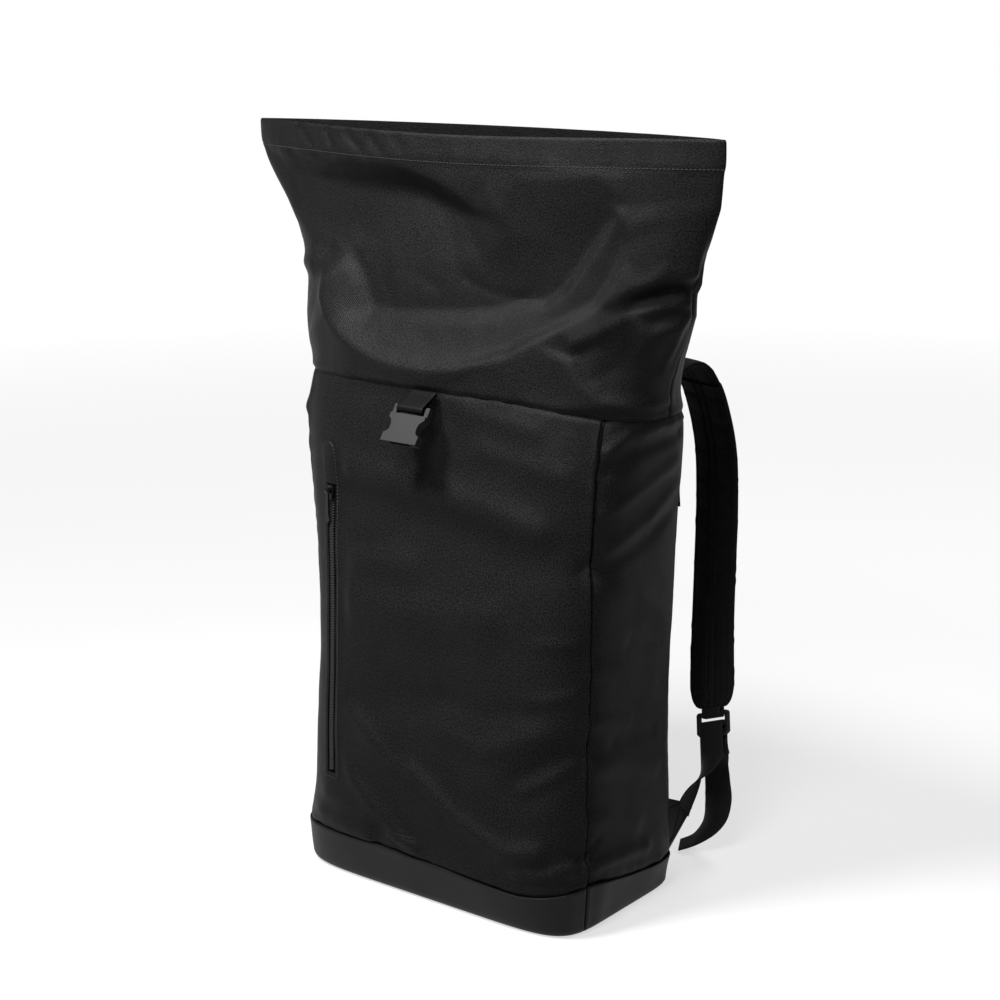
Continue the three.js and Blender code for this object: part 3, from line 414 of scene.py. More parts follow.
def girthTable():
    cut = readSections(levels)
    turn = np.linspace(0, math.pi, 481)[None, :]
    sideways = np.abs(np.sin(turn)) ** (2 / cut[:, 6:7])
    sideways[:, 0] = 0
    sideways[:, -1] = 0
    depth = np.abs(np.cos(turn)) ** (2 / cut[:, 7:8])
    xs = cut[:, 2:3] * sideways
    ys = cut[:, 3:4] + np.where(turn < math.pi / 2, -cut[:, 4:5] * depth, cut[:, 5:6] * depth)
    steps = np.hypot(np.diff(xs, axis=1), np.diff(ys, axis=1))
    run = np.concatenate([np.zeros((len(levels), 1)), np.cumsum(steps, axis=1)], axis=1)
    half = run[:, -1]
    even = np.linspace(0, 1, shareCount)
    x = np.stack([np.interp(even * h, r, v) for h, r, v in zip(half, run, xs)])
    y = np.stack([np.interp(even * h, r, v) for h, r, v in zip(half, run, ys)])
    return x, y, half, cut[:, 1], cut[:, 8], cut[:, 9]


tableX, tableY, tableHalf, tableMid, tableFront, tableBack = girthTable()


def halfGirth(z):
    return np.interp(z, levels, tableHalf)


def cornerFront(z):
    return np.interp(z, levels, tableFront)


def cornerBack(z):
    return np.interp(z, levels, tableBack)


def wrapShare(share):  # from -1 to 1, 0 at the front middle
    return np.where(share > 1, share - 2, np.where(share < -1, share + 2, share))


def blendCell(table, j, i, up, along):  # value between four neighbours of a table
    low = mix(table[j, i], table[j, i + 1], along)
    high = mix(table[j + 1, i], table[j + 1, i + 1], along)
    return mix(low, high, up)


def bare(share, z):  # the bag's skin without folds
    share, z = np.broadcast_arrays(np.asarray(share, float), np.asarray(z, float))
    g = wrapShare(share)
    a = np.clip(np.abs(g), 0, 1) * (shareCount - 1)
    i = np.minimum(a.astype(int), shareCount - 2)
    b = np.clip(z - levels[0], 0, len(levels) - 1.001)
    j = b.astype(int)
    x, y = (blendCell(table, j, i, b - j, a - i) for table in (tableX, tableY))
    middle = np.interp(z, levels, tableMid)
    return np.stack([middle + np.where(g < 0, -x, x), y, z], axis=-1)


def unit(v):
    return v / np.maximum(np.linalg.norm(v, axis=-1, keepdims=True), 1e-9)


def runAlong(path):  # distance along a path at each of its points
    return np.concatenate([[0], np.cumsum(np.linalg.norm(np.diff(path, axis=0), axis=1))])


def pointsAt(at, run, path):
    return np.stack([np.interp(at, run, path[:, c]) for c in range(3)], axis=1)


def bareNormal(share, z, aside=0.012, up=3):
    across = bare(share + aside, z) - bare(share - aside, z)
    along = bare(share, z + up) - bare(share, z - up)
    return unit(np.cross(across, along))


def relief(w, z, rows):  # rise of the folds at a girth distance and height
    total = np.zeros(np.broadcast(w, z).shape)
    for line, wide, high, form in rows:
        off = np.full(total.shape, np.inf)
        for (w0, z0), (w1, z1) in zip(line[:-1], line[1:]):
            dw, dz = w1 - w0, z1 - z0
            along = np.clip(((w - w0) * dw + (z - z0) * dz) / (dw * dw + dz * dz), 0, 1)
            off = np.minimum(off, np.hypot(w - w0 - along * dw, z - z0 - along * dz) / wide)
        shape = mix(np.exp(-bagForm["foldSoft"] * off * off), np.maximum(0, 1 - off), form)
        total += np.where(off < bagForm["foldReach"], high * shape, 0)
    return total


def creasedSheet(rows, form):  # flat facets between fold lines, then eased
    spots, rises, edges = [], [], []
    for row in rows:
        for k, (w, z, rise) in enumerate(row):
            if k:
                edges.append((len(spots) - 1, len(spots)))
            spots.append(Vector((w, z)))
            rises.append(rise)
    corners, _, faces, source, _, _ = delaunay_2d_cdt(spots, edges, [], 0, 0.01)
    rise = []
    for corner, ids in zip(corners, source):
        near = ids[0] if ids else min(range(len(spots)), key=lambda k: (spots[k] - corner).length)
        rise.append(rises[near])
    step = form["step"]
    across, up = np.meshgrid(np.arange(-form["reach"], form["reach"] + step, step),
                             np.arange(form["low"], form["high"] + step, step))
    field = np.zeros(across.shape)
    for a, b, c in faces:
        (aw, az), (bw, bz), (cw, cz) = corners[a], corners[b], corners[c]
        area = (bw - aw) * (cz - az) - (bz - az) * (cw - aw)
        if abs(area) < 1e-6:
            continue
        s = ((across - aw) * (cz - az) - (up - az) * (cw - aw)) / area
        t = ((bw - aw) * (up - az) - (bz - az) * (across - aw)) / area
        inside = (s > -1e-6) & (t > -1e-6) & (s + t < 1 + 1e-6)
        field[inside] = (rise[a] * (1 - s - t) + rise[b] * s + rise[c] * t)[inside]
    reach = int(3 * form["soft"] / step)
    kernel = np.exp(-0.5 * (np.arange(-reach, reach + 1) * step / form["soft"]) ** 2)
    kernel = kernel / kernel.sum()
    for _ in range(2):
        wide = np.pad(field, ((0, 0), (reach, reach)), mode="edge")
        field = np.stack([np.convolve(row, kernel, mode="valid") for row in wide]).T

    def height(w, z):
        a = np.clip((w + form["reach"]) / step, 0, field.shape[1] - 1.001)
        b = np.clip((z - form["low"]) / step, 0, field.shape[0] - 1.001)
        i, j = a.astype(int), b.astype(int)
        return blendCell(field, j, i, b - j, a - i)

    return height


collarRise = creasedSheet(bagForm["collar"], bagForm["collarSheet"])


def ripple(w, z, wave, high, seed):  # slow unevenness of the cloth
    flat = [noise.noise(Vector((a / wave, b / wave, seed))) for a, b in zip(np.ravel(w), np.ravel(z))]
    return high * np.array(flat).reshape(np.shape(w))


def girthAt(share, z):
    return wrapShare(share) * halfGirth(z)


def laidAt(share, z):  # the same distance, not starting again at the back
    return share * halfGirth(z)


zipForm = {
    "girthLow": -105, "girthHigh": -117, "slot": 11, "low": 100, "high": 396, "slider": 354,
    "clearLow": 10, "clearHigh": 9, "tape": 22, "tapeLow": 92.0, "tapeHigh": 402.0, "tapeThick": 0.8,
    "tapeOut": -1.3, "toothOut": -0.35, "pitch": 2.3, "toothWide": 3.1,
}


def besideZip(w, z):  # distance from the zip's line
    along = (z - zipForm["low"]) / (zipForm["high"] - zipForm["low"])
    below, above = zipForm["low"] - zipForm["clearLow"] - z, z - zipForm["high"] - zipForm["clearHigh"]
    beyond = np.maximum(0, np.maximum(below, above))
    return np.hypot(w - mix(zipForm["girthLow"], zipForm["girthHigh"], along), beyond)


def clothSkin(share, z, out=0.0, lively=1.0):  # outer face of the cloth and its facing
    share, z = np.broadcast_arrays(np.asarray(share, float), np.asarray(z, float))
    facing = bareNormal(share, z)
    w = girthAt(share, z)
    g = wrapShare(share)
    side = np.abs(g)
    foot = [bagForm["bootFront"] + reach for reach in bagForm["footFade"]]
    fade = ease(*foot, z)
    drape = relief(w, z, bagForm["drape"]) * ease(*bagForm["zipClear"], besideZip(w, z))
    lift = (relief(w, z, bagForm["folds"]) + drape) * fade
    inCollar = ease(*bagForm["collarFade"], z)
    lift = lift + collarRise(w, z) * inCollar * (1 - ease(*bagForm["collarEnds"], side))
    if lively:
        lift = lift + lively * relief(w, z, bagForm["creases"]) * fade
        still = 1 - ease(*bagForm["backStill"], side)  # flat where the girth starts again
        waves = sum(ripple(w, z, *row) for row in bagForm["ripples"])
        lift = lift + lively * waves * fade * still
    spots = bare(share, z) + facing * (lift + out)[..., None]
    left, right = (np.interp(z, *np.transpose(bagForm[end])) for end in ("endLeft", "endRight"))
    push = np.where(g < 0, left, right)
    spots[..., 0] += np.sign(g) * push * bell((side - 0.5) * halfGirth(z), bagForm["endReach"])
    return spots, facing


def bootEdge(share):
    w = wrapShare(share) * bagForm["bootGirth"]
    rows = np.transpose(bagForm["bootTop"])
    shifts = bagForm["bootEase"]
    return sum(np.interp(w + shift, *rows) for shift in shifts) / len(shifts)


def seamEdge(share):
    g = wrapShare(share)
    side = np.where(g > 0, bagForm["seamRight"], bagForm["seamLeft"])
    front = mix(bagForm["seamFront"], side, ease(*bagForm["seamSide"], np.abs(g)))
    return mix(front, bagForm["seamRear"], ease(*bagForm["seamBack"], np.abs(g)))


def mouthEdge(share):
    a = np.abs(wrapShare(share))
    return bagForm["mouthEnd"] - bagForm["mouthDip"] * (1 - ease(*bagForm["mouthSide"], a))


def lines(length, step, ends=(0, 0.5, 1.2, 2.2, 3.6, 5.4)):  # shares of a length, closer at both ends
    edge = np.array(ends)
    count = max(2, int(round((length - 2 * edge[-1]) / step)))
    middle = np.linspace(edge[-1], length - edge[-1], count + 1)[1:-1]
    return np.concatenate([edge, middle, length - edge[::-1]]) / length


def layGrid(lineAt, rowShares, lowEdge, highEdge):  # share and height of a panel's grid
    v = np.asarray(rowShares)[:, None]
    share = lineAt(np.full((len(v), 1), bagForm["startZ"]))
    for _ in range(5):  # heights and shares depend on each other, so they settle in rounds
        z = mix(lowEdge(share), highEdge(share), v)
        share = lineAt(z)
    return share, z


def newPiece(name, points, faces, finish, cut=None, sharp=35):
    mesh = bpy.data.meshes.new(name)
    mesh.from_pydata([tuple(p) for p in np.asarray(points) * mm], [], faces)
    mesh.polygons.foreach_set("use_smooth", [True] * len(mesh.polygons))
    if cut is not None:
        layer = mesh.uv_layers.new(name="cut")
        corners = np.empty(len(mesh.loops), int)
        mesh.loops.foreach_get("vertex_index", corners)
        layer.data.foreach_set("uv", (np.asarray(cut)[corners] * mm).ravel())
    mesh.materials.append(finish)
    mesh.validate()
    mesh.set_sharp_from_angle(angle=math.radians(sharp))
    piece = bpy.data.objects.new(name, mesh)
    scene.collection.objects.link(piece)
    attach(piece, "bag")
    return piece


def ringFaces(first, rings, count):  # quads between rings that follow one another
    faces = []
    for j in range(rings - 1):
        for i in range(count):
            a, b = first + j * count + i, first + j * count + (i + 1) % count
            faces.append((a, b, b + count, a + count))
    return faces


def tubeFaces(first, rings, count):  # the same with both ends closed
    last = first + (rings - 1) * count
    ends = [tuple(range(first + count - 1, first - 1, -1)), tuple(range(last, last + count))]
    return ringFaces(first, rings, count) + ends


def sheetPiece(name, outer, inner, cut, finish, keep=None):  # closed sheet between two grids
    rows, cols = outer.shape[:2]
    layer = rows * cols
    keep = np.ones((rows - 1, cols - 1), bool) if keep is None else keep
    wide = np.pad(keep, 1)
    used = np.zeros(2 * layer, bool)
    faces = []
    for j in range(rows - 1):
        for i in range(cols - 1):
            if not keep[j, i]:
                continue
            a = j * cols + i
            b, c, d = a + 1, a + cols + 1, a + cols
            faces.append((a, b, c, d))
            faces.append((layer + a, layer + d, layer + c, layer + b))
            if not wide[j, i + 1]:
                faces.append((b, a, layer + a, layer + b))
            if not wide[j + 2, i + 1]:
                faces.append((d, c, layer + c, layer + d))
            if not wide[j + 1, i]:
                faces.append((a, d, layer + d, layer + a))
            if not wide[j + 1, i + 2]:
                faces.append((c, b, layer + b, layer + c))
    for face in faces:
        used[list(face)] = True
    points = np.concatenate([outer.reshape(-1, 3), inner.reshape(-1, 3)])
    flat = np.concatenate([cut.reshape(-1, 2), cut.reshape(-1, 2)])
    index = np.cumsum(used) - 1
    faces = [tuple(int(index[v]) for v in face) for face in faces]
    return newPiece(name, points[used], faces, finish, flat[used])


def clothPiece(name, share, z, out, thick, finish, keep=None, lively=1.0):
    outer, facing = clothSkin(share, z, out, lively)
    inner = outer - facing * np.broadcast_to(thick, share.shape)[..., None]
    cut = np.stack([laidAt(share, z), z], axis=-1)
    return sheetPiece(name, outer, inner, cut, finish, keep)


def bell(distance, wide):
    return np.exp(-(distance / wide) ** 2)


def edging(distance, rise, wide, inset=0):  # a roll or tuck along an edge
    return rise * bell(distance - inset, wide)


def pucker(along, distance, wave, high, reach, seed):  # gathered cloth beside a seam
    wobble = ripple(along, np.zeros_like(along), wave, 1.0, seed)
    return high * wobble * np.exp(-distance / reach)


# body panels between the boot and the collar seam
panels = {
    "cloth": 2.0, "back": 6.0, "step": 2.8, "backStep": 4.0, "high": 413, "leftWide": 22, "rightWide": 215,
    "sideWide": 165, "backWide": 300, "crown": 3.0, "crownReach": 30, "crownSink": 1, "zipFade": 6,
    # rolls and tucks: rise, half width, distance in from the edge
    "lap": (1.1, 4.0, 1.5), "tuck": (2.2, 1.3), "topTuck": (1.4, 2.6), "lowTuck": (1.2, 2.2),
    "lowRoll": (0.8, 5.0, 5), "zipRoll": (0.5, 3.5, 8.5),
    # gathers: wave, rise, reach, seed
    "topGather": (11.0, 1.1, 9.0, 12.7), "lowGather": (13.0, 1.5, 9.0, 33.1),
    "frontGather": (9.0, 1.3, 7.0, 21.3), "sideGather": (9.0, 1.3, 7.0, 4.9),
}
bodyRows = lines(panels["high"], panels["step"])


def bodyLow(share):
    return bootEdge(share) + bagForm["seamGap"]


def bodyHigh(share):
    return seamEdge(share) - bagForm["seamGap"] / 2


def trim(z):
    return bagForm["seamGap"] / 2 / halfGirth(z)


def zipShare(z, beside):
    along = (z - zipForm["low"]) / (zipForm["high"] - zipForm["low"])
    return (mix(zipForm["girthLow"], zipForm["girthHigh"], along) + beside) / halfGirth(z)


leftCols = lines(panels["leftWide"], panels["step"])
slotCols = np.array([0.33, 0.67])
rightCols = lines(panels["rightWide"], panels["step"])


def frontLine(z):
    left, right = -cornerFront(z) + trim(z), cornerFront(z) - trim(z)
    a, b = zipShare(z, -zipForm["slot"] / 2), zipShare(z, zipForm["slot"] / 2)
    return np.concatenate([mix(left[:, :1], a[:, :1], leftCols), mix(a[:, :1], b[:, :1], slotCols),
                           mix(b[:, :1], right[:, :1], rightCols)], axis=1)


def panelOut(share, z, left, right, kind):  # rolled or tucked edges and the gathers beside them
    half = halfGirth(z)
    near = np.minimum((share - left) * half, (right - share) * half)
    top = bodyHigh(share) - z
    low = z - bodyLow(share)
    lap = edging(near, *panels["lap"])
    out = (lap if kind == "front" else -lap) - edging(near, *panels["tuck"])
    out = out - edging(top, *panels["topTuck"]) - edging(low, *panels["lowTuck"])
    out = out + edging(low, *panels["lowRoll"])
    out = out + pucker(z, near, *panels["frontGather" if kind == "front" else "sideGather"])
    out = out + pucker(laidAt(share, z), top, *panels["topGather"])
    return out + pucker(laidAt(share, z), low, *panels["lowGather"])


share, z = layGrid(frontLine, bodyRows, bodyLow, bodyHigh)
slotFrom, slotTo = len(leftCols) - 1, len(leftCols) + len(slotCols)
keep = np.ones((share.shape[0] - 1, share.shape[1] - 1), bool)
rowMid = (z[:-1, slotFrom] + z[1:, slotFrom]) / 2
slotRows = (rowMid > zipForm["low"]) & (rowMid < zipForm["high"])
keep[np.ix_(slotRows, np.arange(slotFrom, slotTo))] = False
out = panelOut(share, z, -cornerFront(z), cornerFront(z), "front")
zipLow, zipHigh = zipForm["low"], zipForm["high"]
inZip = ease(zipLow - panels["zipFade"], zipLow, z) * (1 - ease(zipHigh, zipHigh + panels["zipFade"], z))
out = out + edging(besideZip(girthAt(share, z), z), *panels["zipRoll"]) * inZip
frontPanel = clothPiece("frontPanel", share, z, out, panels["cloth"], shellCloth, keep)
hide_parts("front_panel")


def sidePiece(name, node, left, right, make):
    cols = lines(make["wide"], make["step"])

    def lineAt(height):
        gap = trim(height)
        return mix(left(height) + gap, right(height) - gap, cols)

    share, z = layGrid(lineAt, bodyRows, bodyLow, bodyHigh)
    out = panelOut(share, z, left(z), right(z), make["kind"])
    if make["kind"] == "back":  # padded, so it crowns between its seams
        half = halfGirth(z)
        near = np.minimum((share - left(z)) * half, (right(z) - share) * half)
        crown = panels["crown"]
        for distance in (near, z - bodyLow(share), bodyHigh(share) - z):
            crown = crown * ease(0, panels["crownReach"], distance)
        out = out + crown - panels["crownSink"]
    made = clothPiece(name, share, z, out, make["thick"], make["finish"])
    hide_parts(node)
    return made


sideMake = {
    "kind": "side", "wide": panels["sideWide"], "step": panels["step"], "thick": panels["cloth"],
    "finish": shellCloth, "slot": "shell_cloth",
}
backMake = {
    "kind": "back", "wide": panels["backWide"], "step": panels["backStep"], "thick": panels["back"],
    "finish": padCloth, "slot": "padded_cloth",
}
sidePiece("sidePanelRight", "side_panel_right", cornerFront, cornerBack, sideMake)
sidePiece("sidePanelLeft", "side_panel_left", lambda h: -cornerBack(h), lambda h: -cornerFront(h), sideMake)
backPanel = sidePiece("backPanel", "back_panel", cornerBack, lambda h: 2 - cornerBack(h), backMake)
print("body panels laid")

# open collar with its doubled hem
collarForm = {
    "end": 0.515, "high": 216, "frontWide": 480, "backWide": 450, "step": 2.4, "backStep": 3.6,
    "thick": 2.0, "rimThin": 1.0, "hem": 25, "hemExtra": 0.7, "hemEase": 1.5, "stitchUp": 2.0,
    "stitchSink": 0.25, "stitchIn": 0.004,
    # rolls and tucks: rise, half width, distance in from the edge
    "rim": (0.9, 1.0), "seamRoll": (0.9, 12.0), "seamTuck": (1.9, 2.2), "endTuck": (0.9, 1.6),
    "hemTuck": (0.5, 1.4, 2.0),
    # gathers: wave, rise, reach, seed
    "seamGather": (12.0, 0.9, 9.0, 6.3), "hemGather": (13.0, 0.8, 12.0, 14.9),
}


def collarLow(share):
    return seamEdge(share) + bagForm["seamGap"] / 2


def collarPiece(name, node, first, last, step, wide):
    cols = lines(wide, step)
    rows = lines(collarForm["high"], step)

    def lineAt(height):
        gap = trim(height)
        return mix(first + gap, last - gap, cols)

    share, z = layGrid(lineAt, rows, collarLow, mouthEdge)
    hemLine = mouthEdge(share) - collarForm["hem"]
    top = mouthEdge(share) - z
    low = z - collarLow(share)
    half = halfGirth(z)
    near = np.minimum((share - first) * half, (last - share) * half)
    out = collarForm["hemExtra"] * ease(hemLine - collarForm["hemEase"], hemLine + collarForm["hemEase"], z)
    out = out - edging(top, *collarForm["rim"]) + edging(low, *collarForm["seamRoll"])
    out = out - edging(low, *collarForm["seamTuck"]) - edging(near, *collarForm["endTuck"])
    out = out - edging(z - hemLine, *collarForm["hemTuck"])
    out = out + pucker(laidAt(share, z), low, *collarForm["seamGather"])
    out = out + pucker(laidAt(share, z), np.abs(z - hemLine), *collarForm["hemGather"])
    thick = collarForm["thick"] - collarForm["rimThin"] * bell(top, collarForm["rim"][1])
    made = clothPiece(name, share, z, out, thick, shellCloth)
    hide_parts(node)


collarEnd = collarForm["end"]
collarPiece("collarFront", "collar_front", -collarEnd, collarEnd, collarForm["step"], collarForm["frontWide"])
collarPiece("collarBack", "collar_back", collarEnd, 2 - collarEnd, collarForm["backStep"],
            collarForm["backWide"])
print("collar laid")

# coated boot under the bag
bootForm = {
    "thick": 3.0, "upright": 12, "lip": (0.9, 7.0), "corners": (0.37, -0.37, 0.69, -0.69), "lines": 360,
    # closer lines beside a corner seam, and the nearest that the even ones come to it
    "beside": (0, 0.4, 0.8, 1.3, 1.9, 2.7, 3.8, 5.2), "clear": 6.5,
    # corner seam: rise, half width, distance from the seam
    "seam": [(-2.4, 0.9, 0), (0.5, 2.0, 3.0), (1.3, 11, 17)], "seamFade": (0.5, 6),
    "ripple": (44.0, 0.9, 2.2), "rippleFade": (2, 12),  # wave, rise, seed
    # share of the height and share of the wall inward, up the outside and down the inside
    "rises": [(0, 0), (0.01, 0), (0.03, 0), (0.06, 0), (0.1, 0), (0.16, 0), (0.24, 0), (0.34, 0), (0.46, 0),
              (0.58, 0), (0.7, 0), (0.8, 0), (0.88, 0), (0.94, 0), (0.975, 0), (0.993, 0.15), (1.0, 0.45),
              (0.993, 0.85), (0.96, 1), (0.6, 1), (0.2, 1), (0.09, 1.6)],
}


def bootPiece():
    corners = bootForm["corners"]
    beside = np.array(bootForm["beside"]) / bagForm["bootGirth"]
    even = np.linspace(-1, 1, bootForm["lines"] + 1)[:-1]
    clear = bootForm["clear"] / bagForm["bootGirth"]
    even = even[np.min([np.abs(even - c) for c in corners], axis=0) > clear]
    around = np.unique(np.concatenate([even] + [c + side * beside for c in corners for side in (-1, 1)]))
    rings = []
    for rise, into in bootForm["rises"]:
        z = bootEdge(around) * rise
        facing = bareNormal(around, np.maximum(bootForm["upright"], z))
        facing[:, 2] = 0
        facing = unit(facing)
        lip = edging(bootEdge(around) - z, *bootForm["lip"])
        seam = np.zeros_like(around)
        for corner in corners:
            off = np.abs(around - corner) * halfGirth(z)
            for row in bootForm["seam"]:
                seam = seam + edging(off, *row)
        seam = seam * ease(*bootForm["seamFade"], z)
        soft = ripple(around * halfGirth(z), z, *bootForm["ripple"]) * ease(*bootForm["rippleFade"], z)
        soft = soft * (1 - ease(0, 1, into)) * (1 - ease(*bagForm["backStill"], np.abs(wrapShare(around))))
        out = lip + seam + soft - bootForm["thick"] * into
        rings.append(bare(around, z) + facing * out[:, None])
    count = len(around)
    points = np.concatenate(rings + [np.array([[0, 0, 0], [0, 0, bootForm["thick"]]], float)])
    faces = ringFaces(0, len(rings), count)
    under, floorTop, last = len(points) - 2, len(points) - 1, (len(rings) - 1) * count
    for i in range(count):
        b = (i + 1) % count
        faces.append((under, b, i))
        faces.append((floorTop, last + i, last + b))
    made = newPiece("baseBoot", points, faces, coatedBase)
    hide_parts("base_boot")


bootPiece()
print("boot laid")

stitchLook = {
    "length": 2.6, "gap": 0.9, "radius": 0.32, "sides": 6,
    # share of the length, then rise and fatness in radii
    "shape": [(0, -0.7, 0.5), (0.25, 0.25, 1), (0.5, 0.45, 1), (0.75, 0.25, 1), (1, -0.7, 0.5)],
}


def stitchPiece(name, paths, look):  # rows of separate thread stitches
    points, faces = [], []
    ring = [(math.cos(a), math.sin(a)) for a in np.linspace(0, 2 * math.pi, look["sides"] + 1)[:-1]]
    shape = look["shape"]
    shares = np.array([row[0] for row in shape])
    pitch = look["length"] + look["gap"]
    for path, facing in paths:
        run = runAlong(path)
        for k in range(int(run[-1] // pitch)):
            at = k * pitch + look["gap"] / 2 + look["length"] * shares
            spots, outs = pointsAt(at, run, path), unit(pointsAt(at, run, facing))
            side = np.cross(unit(spots[-1] - spots[0]), outs[len(shape) // 2])
            faces += tubeFaces(len(points), len(shape), len(ring))
            for spot, out, (_, rise, fat) in zip(spots, outs, shape):
                reach = look["radius"] * fat
                for a, b in ring:
                    points.append(spot + out * (rise * look["radius"] + b * reach) + side * (a * reach))
    newPiece(name, points, faces, thread, sharp=60)


def hemPath(first, last):
    share = np.linspace(first + collarForm["stitchIn"], last - collarForm["stitchIn"], 400)
    z = mouthEdge(share) - collarForm["hem"] + collarForm["stitchUp"]
    beside = np.full(len(share), collarForm["stitchUp"])
    gather = pucker(laidAt(share, z), beside, *collarForm["hemGather"])
    return clothSkin(share, z, collarForm["hemExtra"] - collarForm["stitchSink"] + gather)


stitchPiece("hemStitches", [hemPath(-collarEnd, collarEnd), hemPath(collarEnd, 2 - collarEnd)], stitchLook)
print("hem stitched")

# front zip: tape, teeth, cover at its top and the stitching round it
tapeRows = np.linspace(0, 1, 90)
tapeCols = np.linspace(-zipForm["tape"] / 2, zipForm["tape"] / 2, 9)
z = np.repeat(mix(zipForm["tapeLow"], zipForm["tapeHigh"], tapeRows)[:, None], len(tapeCols), axis=1)
share = zipShare(z, tapeCols[None, :])
zipTape = clothPiece("zipTape", share, z, zipForm["tapeOut"], zipForm["tapeThick"], tapeCloth,
                     lively=0.0)
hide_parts("zip_tape")

toothForm = {
    "from": 3, "to": 6, "past": 0.55,
    # share of the way in to the middle, half height, half depth
    "profile": [(0.0, 0.6, 0.6), (0.3, 0.8, 0.8), (0.72, 0.8, 0.8), (1.0, 0.5, 0.5)],
    "section": [(-1, -1), (1, -1), (1, 0.5), (0.55, 1), (-0.55, 1), (-1, 0.5)],
}


def teethPiece():
    points, faces = [], []
    profile, section = toothForm["profile"], toothForm["section"]
    low, high = zipForm["low"] + toothForm["from"], zipForm["slider"] - toothForm["to"]
    for side in (-1, 1):
        heights = np.arange(low, high, zipForm["pitch"]) + (zipForm["pitch"] / 2 if side > 0 else 0)
        for z in heights[:, None]:
            base, out = clothSkin(zipShare(z, 0.0), z, zipForm["toothOut"], 0.0)
            beside, _ = clothSkin(zipShare(z, side * 1.0), z, zipForm["toothOut"], 0.0)
            across = unit(beside - base)[0]
            out = unit(out - across * (out @ across)[:, None])[0]
            up = np.cross(out, across) * side
            faces += tubeFaces(len(points), len(profile), len(section))
            for along, tall, deep in profile:
                spot = base[0] + across * (zipForm["toothWide"] * (1 - along) - toothForm["past"] * along)
                for a, b in section:
                    points.append(spot + up * (a * tall) + out * (b * deep))
    made = newPiece("zipTeeth", points, faces, zipCoil, sharp=50)
    fixFacing(made)
    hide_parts("zip_chain")


def fixFacing(piece):  # every face outward
    work = bmesh.new()
    work.from_mesh(piece.data)
    bmesh.ops.recalc_face_normals(work, faces=work.faces)
    work.to_mesh(piece.data)
    work.free()


teethPiece()

coverForm = {
    "low": 362, "high": 400, "half": 9.5, "round": 9, "tip": 0.02, "thick": 1.2, "out": 1.0,
    "crown": (0.6, 8.0), "edge": (0.9, 1.1),  # rise, half width
}


def zipCover():  # round-topped flap that the slider parks under
    rows, cols = np.linspace(0, 1, 26), np.linspace(-1, 1, 15)
    z = np.repeat(mix(coverForm["low"], coverForm["high"], rows)[:, None], len(cols), axis=1)
    left = coverForm["high"] - z
    bow = 1 - np.minimum(left, coverForm["round"]) / coverForm["round"]
    wide = coverForm["half"] * np.sqrt(np.clip(1 - bow ** 2, coverForm["tip"], 1))
    beside = wide * cols[None, :]
    edge = np.minimum(wide - np.abs(beside), left)
    out = coverForm["out"] + edging(beside, *coverForm["crown"]) - edging(edge, *coverForm["edge"])
    clothPiece("zipCover", zipShare(z, beside), z, out, coverForm["thick"], shellCloth)


zipCover()

zipSewing = {
    "beside": 8.6, "below": 4.0, "under": 8, "arch": 7.0, "out": 0.55, "archOut": 0.85, "footOut": 0.45,
    "look": dict(stitchLook, length=2.2, radius=0.34),
}


def zipStitches():  # up both sides, round the cover's top and across the foot
    half, foot = zipSewing["beside"], zipForm["low"] - zipSewing["below"]
    head = coverForm["high"] - zipSewing["under"]
    turn = np.linspace(0, math.pi, 30)
    sides = np.linspace(foot, head, 240)
    arch = head + zipSewing["arch"] * np.sin(turn)
    across = np.linspace(-half, half, 20)
    feet = np.full(len(across), foot)
    rows = [(sides, -half, "out"), (sides, half, "out"), (arch, half * np.cos(turn), "archOut"),
            (feet, across, "footOut")]
    paths = [clothSkin(zipShare(z, beside), z, zipSewing[out]) for z, beside, out in rows]
    stitchPiece("zipStitches", paths, zipSewing["look"])


zipStitches()
print("zip laid")


def smoothPath(rows, shares):  # centripetal curve through the rows
    rows = np.asarray(rows, float)
    points, count = rows[:, :3], len(rows)
    out = []
    for t in shares:
        at = t * (count - 1)
        k = min(count - 2, int(at))
        s = at - k
        p1, p2 = points[k], points[k + 1]
        p0 = points[k - 1] if k > 0 else 2 * points[0] - points[1]
        p3 = points[k + 2] if k + 2 < count else 2 * points[-1] - points[-2]
        d0, d1, d2 = (max(1e-4, np.linalg.norm(b - a)) ** 0.5 for a, b in ((p0, p1), (p1, p2), (p2, p3)))
        m1 = d1 * ((p1 - p0) / d0 - (p2 - p0) / (d0 + d1) + (p2 - p1) / d1)
        m2 = d1 * ((p2 - p1) / d1 - (p3 - p1) / (d1 + d2) + (p3 - p2) / d2)
        out.append(p1 + m1 * s + (-3 * p1 + 3 * p2 - 2 * m1 - m2) * s**2 + (2 * p1 - 2 * p2 + m1 + m2) * s**3)
    return np.array(out)


def heading(rows, shares):
    yaws = np.radians([r[3] for r in rows])
    yaw = np.interp(np.asarray(shares) * (len(rows) - 1), np.arange(len(rows)), yaws)
    return np.stack([np.cos(yaw), np.sin(yaw), np.zeros_like(yaw)], axis=1)


def bandFrame(path, side):  # ahead, across and facing at each point of a strap
    ahead = unit(np.gradient(path, axis=0))
    side = unit(side - ahead * np.sum(side * ahead, axis=1, keepdims=True))
    return ahead, side, np.cross(ahead, side)


def bandPiece(name, path, side, rings, finish):  # rings: across and through, in mm
    _, side, facing = bandFrame(path, side)
    count = rings.shape[1]
    points = path[:, None] + side[:, None] * rings[..., :1] + facing[:, None] * rings[..., 1:]
    cut = np.stack([rings[..., 0], np.repeat(runAlong(path)[:, None], count, axis=1)], axis=-1)
    faces = tubeFaces(0, len(path), count)
    return newPiece(name, points.reshape(-1, 3), faces, finish, cut.reshape(-1, 2), sharp=50)


